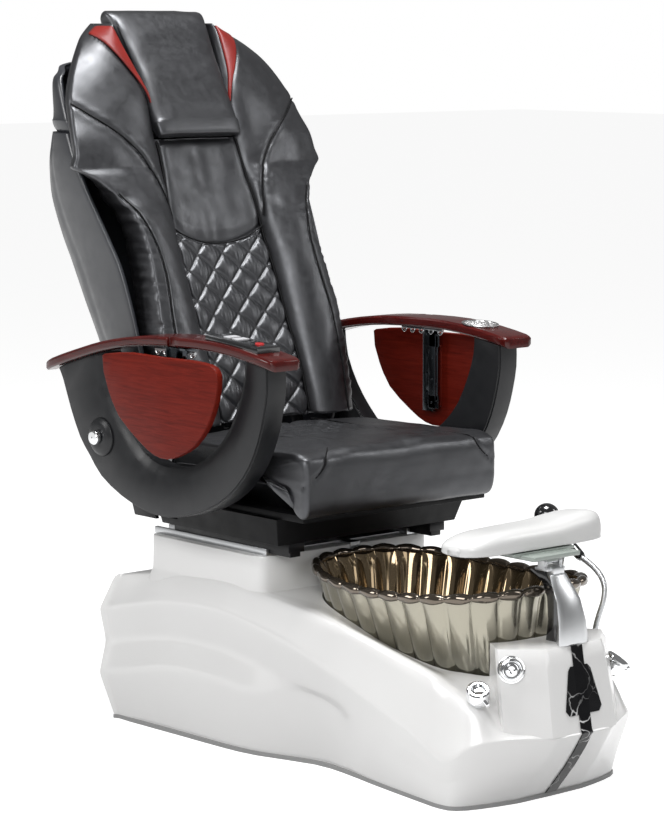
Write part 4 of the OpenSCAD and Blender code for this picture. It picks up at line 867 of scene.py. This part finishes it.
def footrest_pad():
    rings = []
    for t in np.sin(np.linspace(-math.pi / 2, math.pi / 2, 121)):
        e = max(0.004, 1 - abs(t) ** 4) ** 0.25
        top = np.interp(t * PAD_X, PAD_TOP[:, 0], PAD_TOP[:, 1]) - PAD_Z
        crown = 14 + (top - 14) * e ** (1.3 if t < 0 else 0.7)
        ring = []
        for a in turn(72):
            c, q = spow(math.cos(a), 0.5), math.sin(a)
            thick = crown * (0.9 + 0.1 * c)
            z = PAD_Z + 8 + ((thick - 8) * q ** 0.66 if q > 0 else -8 * abs(q) ** 0.3)
            ring.append([PAD_X * t, PAD_Y - PAD_D * (0.94 + 0.06 * t * t) * e * c, z])
        rings.append(ring)
    o = lofted("footrest_cushion", rings, pad_ivory, "footrest")
    wn = wave_noise(51, 8, 120, 260)

    def fn(p, n):
        piping = groove(p[:, 2] - (PAD_Z + 8), 0.7, 1.6)
        return 0.5 * wn(p) * np.clip(n[:, 2], 0, 1) + piping

    displace(o, fn)
    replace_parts(o, "footrest_pad")


footrest_pad()


def foot_plate():
    """Moulded plate and hinge block under the pad."""
    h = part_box("footrest_head")[1][2] * 1000 - 9
    z = PAD_Z - 5
    parts = bmesh.new()
    slab(parts, -62, 62, -550, -438, z - 8, z + 1, 3)
    slab(parts, -80, 80, -516, -412, z - 1.5, z + 4.5, 1.5)
    slab(parts, -15.7, 15.7, -538, -522, h, z - 2, 2)
    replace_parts(solid("footrest_plate", parts, frosted, "footrest"), "footrest_pad")


foot_plate()

# ---- fluted bowl with its rope rim ----
B_REAR, B_LEN, B_W, RIM, BOT, FLUTES = 38.0, 553.0, 404.0, 378.0, 150.0, 30
B_MID, B_FRONT = B_REAR - B_LEN * 0.55, B_REAR - B_LEN


def bowl_plan(a):
    c, q = np.cos(a), np.sin(a)
    x = B_W / 2 * spow(q, 0.62) * np.where(c > 0, 1 - 0.13 * c * c, 1 - 0.06 * c * c)
    return x, B_MID + np.where(c > 0, (B_REAR - B_MID) * spow(c, 0.72), (B_MID - B_FRONT) * spow(c, 0.66))


def taper(t):
    """Shares of width and depth left at depth t down the wall."""
    return 1 - 0.36 * t - 0.1 * t ** 5, 1 - 0.14 * t - 0.1 * t ** 5


def bowl():
    dense = np.linspace(0, 2 * math.pi, 4001)
    x, y = bowl_plan(dense)
    run = np.concatenate([[0], np.cumsum(np.hypot(np.diff(x), np.diff(y)))])
    n = FLUTES * 14
    phase = np.arange(n) / n
    a = np.interp(phase * run[-1], run, dense)
    x, y = bowl_plan(a)
    rim = RIM + 20 * np.abs((y - B_FRONT) / B_LEN / 0.52 - 1) ** 1.6
    lobe = np.abs(np.sin(math.pi * (phase * FLUTES)))

    def ring(d, grow, depth, floor_z):
        kx, ky = taper(max(0.0, d) / (RIM - BOT))
        X, Y = x * kx, (y - B_MID) * ky
        l = np.hypot(X, Y)
        g = (l + grow - depth * (1 - lobe ** 0.75)) / l
        return np.stack([X * g, B_MID + Y * g, np.maximum(floor_z, rim - d)], 1)

    def flat(k, z, grow):
        r = ring(RIM - BOT, grow, 4, z)
        r[:, 0] *= k
        r[:, 1] = B_MID + (r[:, 1] - B_MID) * k
        r[:, 2] = z
        return r

    ds = [0, 4, 10, 20, 34, 50, 68, 88, 108, 128, 148, 168, 186, 200, 212]
    deep = lambda d: 6.5 * min(1, d / 22) * (1 - 0.5 * max(0, d - 150) / 62)
    outer, inner = ([ring(d, grow, 2 + deep(d), BOT + floor) for d in ds]
                    + [flat(k, BOT + z, grow) for k, z in flats]
                    for grow, floor, flats in ((0, 2, ((0.97, 1), (0.8, 0), (0.1, 0))),
                                               (-5, 7, ((0.95, 6), (0.8, 5), (0.1, 5)))))
    rings = outer[::-1] + inner
    v, f = loft(rings)
    index = [0 if k // n < len(outer) else 1 for k in range(len(rings) * n - n)] + [0] * n + [1] * n
    o = fix_normals(add_mesh("bowl_wall", v, f, [bowl_out, bowl_in], "base", index))
    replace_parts(o, "bowl")
    # rope rim: one twisted bead to each flute
    top = np.stack([x, y, rim - 1.5], 1)
    out = np.stack([x, y - B_MID, 0 * x], 1)
    out /= np.linalg.norm(out, axis=1)[:, None]
    rings = []
    for k in range(n):
        r = 6.2 + 4.4 * lobe[k] ** 0.5
        ring_k = []
        for b in turn(20):
            rr = r * (1 + 0.07 * math.cos(2 * b + 2 * math.pi * phase[k] * FLUTES))
            ring_k.append(top[k] + out[k] * (rr * math.cos(b) - 2.5 + 2.5 * lobe[k])
                          + np.array([0, 0, rr * 0.95 * math.sin(b)]))
        rings.append(ring_k)
    rings.append(rings[0])
    lofted("bowl_rim", rings, rim_glass, "base", cap=False)


bowl()

# ---- moulded base ----
SKIRT_Z, CONSOLE_Z, CONSOLE_W = 8, 304.0, 80.0
# Lines of the moulding from the front centre round one side to the rear centre, millimetres.
RAILS = [
    # floor
    [(0, -536, 0), (62, -535, 0), (95, -533, 0), (165, -518, 0), (210, -498, 0), (222, -466, 0),
     (218, -410, 0), (198, -250, 0), (183, -150, 0), (182, -60, 0), (222, 70, 0), (233, 160, 0),
     (236, 300, 0), (239, 420, 0), (239, 506, 0), (223, 522, 0), (0, 524, 0)],
    # low
    [(0, -586, 70), (62, -585, 70), (93, -578, 70), (164, -548, 70), (210, -515, 62), (228, -474, 52),
     (232, -410, 66), (228, -250, 112), (214, -150, 142), (216, -60, 152), (244, 70, 136), (252, 160, 147),
     (257, 300, 148), (259, 420, 125), (258, 525, 98), (240, 549, 98), (0, 551, 98)],
    # waist
    [(0, -612, 108), (62, -611, 108), (92, -600, 108), (163, -566, 110), (212, -528, 96), (232, -482, 74),
     (244, -410, 104), (242, -250, 156), (234, -150, 164), (236, -60, 172), (241, 70, 193), (243, 160, 204),
     (244, 300, 203), (246, 420, 188), (246, 518, 168), (234, 534, 168), (0, 536, 168)],
    # belt
    [(0, -632, 140), (62, -631, 140), (92, -618, 141), (162, -578, 142), (214, -538, 128), (236, -488, 98),
     (250, -410, 142), (254, -250, 198), (256, -150, 232), (257, -60, 258), (258, 70, 284), (261, 160, 294),
     (263, 300, 287), (263, 420, 265), (260, 519, 240), (242, 544, 236), (0, 546, 236)],
    # ridge
    [(0, -626, 147), (62, -625, 147), (91, -612, 148), (158, -570, 150), (186, -528, 188), (206, -470, 226),
     (228, -410, 258), (246, -250, 300), (250, -150, 315), (250, -60, 324), (250, 70, 336), (250, 160, 344),
     (249, 300, 338), (246, 420, 322), (240, 494, 312), (226, 510, 310), (0, 512, 310)],
    # deck
    [(0, -606, 152), (62, -605, 152), (86, -598, 153), (146, -560, 156), (172, -524, 194), (188, -466, 230),
     (212, -408, 261), (230, -250, 301), (234, -150, 317), (234, -60, 326), (234, 70, 338), (234, 160, 346),
     (233, 300, 340), (230, 420, 324), (224, 480, 314), (210, 494, 312), (0, 496, 312)],
    # well
    [(0, -470, 236), (62, -470, 236), (90, -468, 236), (128, -464, 236), (146, -452, 238), (158, -430, 241),
     (163, -380, 246), (168, -250, 274), (172, -150, 305), (170, -60, 322), (210, 70, 337), (210, 160, 345),
     (210, 300, 339), (206, 420, 323), (200, 460, 313), (186, 474, 312), (0, 476, 312)]]


def bowl_cutter():
    """Closed solid of the bowl's outside, to cut the deck with."""
    x, y = bowl_plan(turn(160))
    rings = []
    for t, z in ((1.0, BOT), (0.75, 210), (0.5, 262), (0.25, 320), (0, 380), (0, 460)):
        kx, ky = taper(t)
        rings.append(np.stack([x * kx, B_MID + (y - B_MID) * ky, np.full(160, float(z))], 1))
    return lofted("cutter", rings, pearl_white, "base")


def carve(o, tool):
    """Cuts the tool's solid out of a piece for good."""
    mod = o.modifiers.new("carve", "BOOLEAN")
    mod.object = tool
    mod.solver = "EXACT"
    me = bpy.data.meshes.new_from_object(o.evaluated_get(bpy.context.evaluated_depsgraph_get()))
    o.modifiers.clear()
    o.data = me


def base_skin():
    """Outer skin through the rails, with an open underside, recessed as the hollow shell is."""
    lines = [np.array(r, float) for r in RAILS]
    rear = smoothstep((lines[0][:, 1] + 300) / 260) * smoothstep((505 - lines[0][:, 1]) / 90)
    for j, move in ((0, -4), (2, -6), (3, 3), (4, -18), (5, -20)):
        lines[j][:, 0] += move * rear * (lines[j][:, 0] > 60)
    half = [catmull(r, 7) for r in lines]
    m = len(half[0])
    full = [np.concatenate([h, (h * (-1, 1, 1))[-2:0:-1]]) for h in half]
    full[0][:, 2] = SKIRT_Z
    n = len(full[0])
    inner = full[0] * (0.96, 0.97, 1)
    rings = [inner + (0, 0, 98), inner, full[0]]
    soft = [0, 0.1, 0.12, 0.09, 0.2, 0.2]
    for j in range(len(full) - 1):
        a, b = full[j], full[j + 1]
        rings += [a + (b - a) * t for t in (0.2, 0.4, 0.6, 0.8)]
        if j < len(full) - 2:
            c, k = full[j + 2], soft[j + 1]
            before, after = b + (a - b) * k, b + (c - b) * k
            rings += [before, 0.25 * before + 0.5 * b + 0.25 * after, after]
    rings.append(full[-1])
    v, f = loft(rings, cap=False)
    for base in (0, (len(rings) - 1) * n):
        f += [(base + i, base + i + 1, base + (n - i - 1) % n, base + (n - i) % n) for i in range(1, m - 2)]
        f += [(base, base + 1, base + n - 1), (base + m - 2, base + m - 1, base + m)]
    return fix_normals(add_mesh("base_skin", v, f, pearl_white, "base"))


def base_console():
    """Console that carries the taps and the pillar."""
    rings = []
    for z in np.linspace(142, CONSOLE_Z, 12):
        t = (CONSOLE_Z - z) / 164
        front = -632 + 32 - 30 * t
        w = CONSOLE_W + 8.4 * t
        top = 5 * max(0.0, 1 - (CONSOLE_Z - z) / 14) ** 2
        side = [(CONSOLE_W - 9, top), (w - 3, 3 + top), (w, 6 + top), (w + 20, 24.5 + top),
                (w + 42, 43.5 + top), (w + 64 - top, 63 + top), (w + 62 - top, 72 + top),
                (w + 52 - top, 86), (CONSOLE_W + 25, 128), (CONSOLE_W + 5, 170)]
        rings.append([[x, front + y, z] for x, y in side] + [[-x, front + y, z] for x, y in side[::-1]])
    return lofted("base_console", rings, pearl_white, "base")


def base_plinth():
    """Plinth under the seat rails, drawn out a little towards its foot and rounded in at the top."""
    y0, y1, half_w, top = 48.0, 420.0, 230.0, 408
    rings = []
    for z, grow in ((300, 10), (316, 8), (330, 3), (342, 1), (380, 0),
                    (top - 3, 0), (top - 0.8, -0.8), (top, -3)):
        rings.append([[spow(math.cos(a), 0.14) * (half_w + grow),
                       (y0 + y1) / 2 + spow(math.sin(a), 0.14) * ((y1 - y0) / 2 + grow), z]
                      for a in turn(64)])
    return lofted("base_plinth", rings, pearl_white, "base")


def moulded_base():
    skin, console = base_skin(), base_console()
    tool = bowl_cutter()
    for o in (skin, console):
        carve(o, tool)
    bpy.data.objects.remove(tool, do_unlink=True)
    for o, angle in ((skin, 50), (console, 22), (base_plinth(), 40)):
        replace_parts(o, "base_shell")
        shade(o, angle)


moulded_base()

# ---- CAD nodes that keep their shape ----
# (material, smoothing angle, bevel in millimetres, nodes)
for mat, angle, bevel, names in (
        (grey_trim, 30, 0, "base_skirting"), (marble_mat, 30, 0.8, "marble_inlay"),
        (steel, 30, 1.5, "base_frame"), (steel, 30, 0.6, "slide_rails"),
        (rubber, 35, 0.8, "levelling_feet"), (chrome, 35, 0.4, "drain_fitting mixer_body diverter_body"),
        (chrome, 35, 0.5, "regulator_plate shower_holder lock_knob_r lock_knob_l"),
        (chrome, 35, 0.6, "hose_ferrule"), (chrome, 30, 0.3, "regulator_knob"),
        (chrome, 30, 0.5, "mixer_knob diverter_lever"), (satin, 40, 2.0, "footrest_pillar"),
        (satin, 35, 0.8, "footrest_head"), (black_gloss, 30, 1.0, "pillar_insert"),
        (black_gloss, 40, 0, "hand_shower"), (black_gloss, 30, 1.2, "remote_housing"),
        (white_plastic, 35, 1.0, "jet_housing"), (white_plastic, 35, 0.4, "jet_impeller"),
        (white_plastic, 35, 0.5, "massage_rollers"), (motor_grey, 35, 1.0, "slide_motor"),
        (motor_grey, 35, 1.2, "recline_motor"), (motor_grey, 35, 0.8, "massage_carriage"),
        (frame_black, 35, 1.0, "carriage_frame"), (frame_black, 35, 0.8, "pivot_brackets"),
        (frame_black, 35, 0.6, "back_frame"), (matte_black, 30, 1.5, "seat_skirt"),
        (matte_black, 30, 0.8, "seat_pan"), (casing_black, 35, 4.0, "arm_casing_r arm_casing_l"),
        (casing_black, 40, 0.6, "pivot_cap_r pivot_cap_l"), (arm_wood, 30, 2.5, "arm_top_r arm_top_l"),
        (panel_wood, 30, 2.5, "tray_panel_r tray_panel_l"),
        (slide_steel, 35, 0.3, "tray_rail_r tray_rail_l"),
        (slide_steel, 35, 0.4, "tray_slide_r tray_slide_l"), (red_gloss, 30, 0.6, "power_button"),
        (key_grey, 30, 0.8, "key_up key_down"), (cup_steel, 35, 0.4, "cup_holder")):
    for name in names.split():
        dress(name, mat, angle, bevel)


# ---- moulded shell behind the cushions: (z, half width, front y, rear y) ----
SHELL = [(560, 200, 345, 530), (640, 235, 352, 575), (720, 250, 372, 610), (802, 262, 400, 641),
         (880, 269, 420, 684), (960, 276, 446, 724), (1016, 284, 474, 747), (1078, 293, 508, 762),
         (1120, 299, 530, 761), (1172, 303, 556, 750), (1210, 302, 575, 734), (1234, 300, 588, 722)]
COVER = [(1232, 288, 592, 712), (1244, 292, 592, 727), (1258, 294, 596, 731), (1268, 292, 603, 725),
         (1337, 281, 640, 722), (1358, 264, 655, 712), (1371, 238, 690, 706), (1378, 205, 700, 704)]
WALL = 5.0
OUTER_LIP, INNER_LIP = ((7, 0), (3, 0), (1, 2)), ((10, 1), (10, 3), (8, 5))


def moulded_shell(name, rows, node_name, lid):
    """Thin moulding, open in front, with two scribed lines down each side."""
    run = np.linspace(0, math.pi / 2, 40)
    t = run / run[-1]
    lines = 2.2 * bell(t - 0.42, 0.035) + 2.2 * bell(t - 0.66, 0.035)

    def path(row, wall, scribed, lip):
        """One side from the front lip to the middle of the back, wall inside the outer face."""
        z, x, y0, y1 = row
        if lid:
            z = min(z, rows[-1][0] - wall)
        sx = (x - wall) * np.cos(run) ** 0.3 - scribed * np.cos(run)
        sy = y0 + 8 + (y1 - wall - y0 - 8) * np.sin(run) ** 1.15 - scribed * np.sin(run)
        return [(x - a, y0 + b, z) for a, b in lip] + [(a, b, z) for a, b in zip(sx, sy)]

    rings = []
    for row in catmull(rows, 6):
        out, inner = path(row, 0, lines, OUTER_LIP), path(row, WALL, 0, INNER_LIP)
        rings.append(out + [(-x, y, z) for x, y, z in out[::-1] + inner] + inner[::-1])
    v, f = loft(rings, cap=False)
    n = len(rings[0])
    half, last = n // 2, (len(rings) - 1) * n
    for base in [0] if lid else [0, last]:
        f += [(base + i, base + i + 1, base + n - 2 - i, base + n - 1 - i) for i in range(half - 1)]
    if lid:
        for a, b in ((0, half), (half, n)):
            c = len(v)
            v.append(np.mean(rings[-1][a:b], axis=0).tolist())
            f += [(last + i, last + i + 1, c) for i in range(a, b - 1)] + [(last + b - 1, last + a, c)]
        f.append((last, last + half - 1, last + half, last + n - 1))
    o = fix_normals(add_mesh(name, v, f, shell_black, "back"))
    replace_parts(o, node_name)


moulded_shell("shell_lower", SHELL, "back_shell", False)
moulded_shell("shell_cover", COVER, "back_shell_cover", True)


# ---- guides and hinges of the arm trays ----
RAIL_X = 341.0


def rail_plates(side, tag):
    """Pressed guide plates with screw heads on the inner face of the tray's fixed rail."""
    (_, y_a, low), (_, y_b, high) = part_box("tray_rail_" + tag)
    mid, low, high = (y_a + y_b) * 500 + 4, low * 1000, high * 1000
    bm = bmesh.new()
    x = side * RAIL_X
    for y0, y1, z0, z1 in ((mid - 34, mid - 28, low + 18, high - 14), (mid - 26, mid - 8, low + 6, high - 8),
                           (mid - 38, mid + 6, high - 46, high - 4), (mid - 36, mid - 4, low + 8, low + 34)):
        slab(bm, *sorted((x, x - side * 2.6)), y0, y1, z0, z1, 0.6)
    for y, z in ((mid - 31, low + 60), (mid - 31, high - 60), (mid - 31, low + 24), (mid + 1, high - 20),
                 (mid - 33, high - 20), (mid - 17, low + 20), (mid - 17, low + 70), (mid - 17, high - 70)):
        slab(bm, *sorted((x - side * 2.4, x - side * 4.6)), y - 2.6, y + 2.6, z - 2.6, z + 2.6, 1.0)
    solid("rail_plates_" + tag, bm, slide_steel, "arm_" + tag)


def tray_hinges(side, tag):
    """Small bright knuckles on a bar under the foot of the tray's fixed rail."""
    x, z = side * (RAIL_X - 8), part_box("tray_rail_" + tag)[1][2] * 1000 - 6.8
    tube("hinge_bar_" + tag, [(x, y, z - 0.03 * abs(y - 185)) for y in (124, 156, 190, 224, 250)],
         3.2, steel, "arm_" + tag, 2, 4)
    for k, y in enumerate((132, 160, 190, 218, 244)):
        loop = [(x, y - 3, z), (x, y - 6, z - 6), (x, y, z - 11), (x, y + 6, z - 6), (x, y + 3, z)]
        tube("hinge_knuckle_%s_%d" % (tag, k), loop, 2.3, chrome, "arm_" + tag, 5, 4)


for side, tag in SIDES:
    tray_hinges(side, tag)
    rail_plates(side, tag)


# ---- stage and light ----
REACH = 30
FLOOR_GLOW, WORLD_LIGHT = 0.84, 0.2
fl = bpy.data.meshes.new("floor")
corners = [(x * REACH, y * REACH, 0) for x, y in ((-1, -1), (1, -1), (1, 1), (-1, 1))]
fl.from_pydata(corners, [], [(0, 1, 2, 3)])
floor_mat, t, b = new_mat("floor", (0.5, 0.5, 0.5), 0.9, Specular_IOR_Level=0.0, Emission_Color=(1, 1, 1, 1))
rays = node(t, "ShaderNodeLightPath")
most = rays.outputs["Is Camera Ray"]
for key in ("Is Glossy Ray", "Is Transmission Ray"):
    most = maths(t, "MAXIMUM", most, rays.outputs[key])
t.links.new(maths(t, "MULTIPLY", most, FLOOR_GLOW), b.inputs["Emission Strength"])
fl.materials.append(floor_mat)
floor = link(bpy.data.objects.new("floor", fl))

w = bpy.data.worlds.new("world")
bpy.context.scene.world = w
w.use_nodes = True
wt = w.node_tree
bg = wt.nodes["Background"]
bg.inputs[0].default_value = (1, 1, 1, 1)
bg.inputs[1].default_value = WORLD_LIGHT
seen = node(wt, "ShaderNodeBackground", Color=(1, 1, 1, 1), Strength=1.0)
path = node(wt, "ShaderNodeLightPath")
mix = node(wt, "ShaderNodeMixShader")
wt.links.new(path.outputs["Is Camera Ray"], mix.inputs[0])
wt.links.new(bg.outputs[0], mix.inputs[1])
wt.links.new(seen.outputs[0], mix.inputs[2])
wt.links.new(mix.outputs[0], wt.nodes["World Output"].inputs[0])


def area(name, loc, target, size, power, size_y=None):
    """Soft lamp turned to a target, in metres and watts."""
    d = bpy.data.lights.new(name, "AREA")
    d.energy = power
    d.size = size
    if size_y:
        d.shape = "RECTANGLE"
        d.size_y = size_y
    o = link(bpy.data.objects.new(name, d))
    o.location = loc
    o.rotation_euler = (Vector(target) - Vector(loc)).to_track_quat("-Z", "Y").to_euler()


area("key", (-3.1, -2.2, 2.6), (0, 0, 0.7), 1.7, 80, 1.9)
area("right_soft", (2.8, -2.2, 2.6), (0, 0, 0.8), 0.8, 28, 1.6)
area("rim_left", (-3.0, 1.5, 2.4), (0, 0.2, 0.7), 1.0, 44, 1.6)
area("front_low", (-1.4, -4.0, 1.4), (0, 0, 0.4), 1.4, 14)
area("top", (0.0, -0.1, 3.9), (0, 0, 0.5), 1.4, 130)

bpy.context.scene.view_settings.view_transform = "Standard"
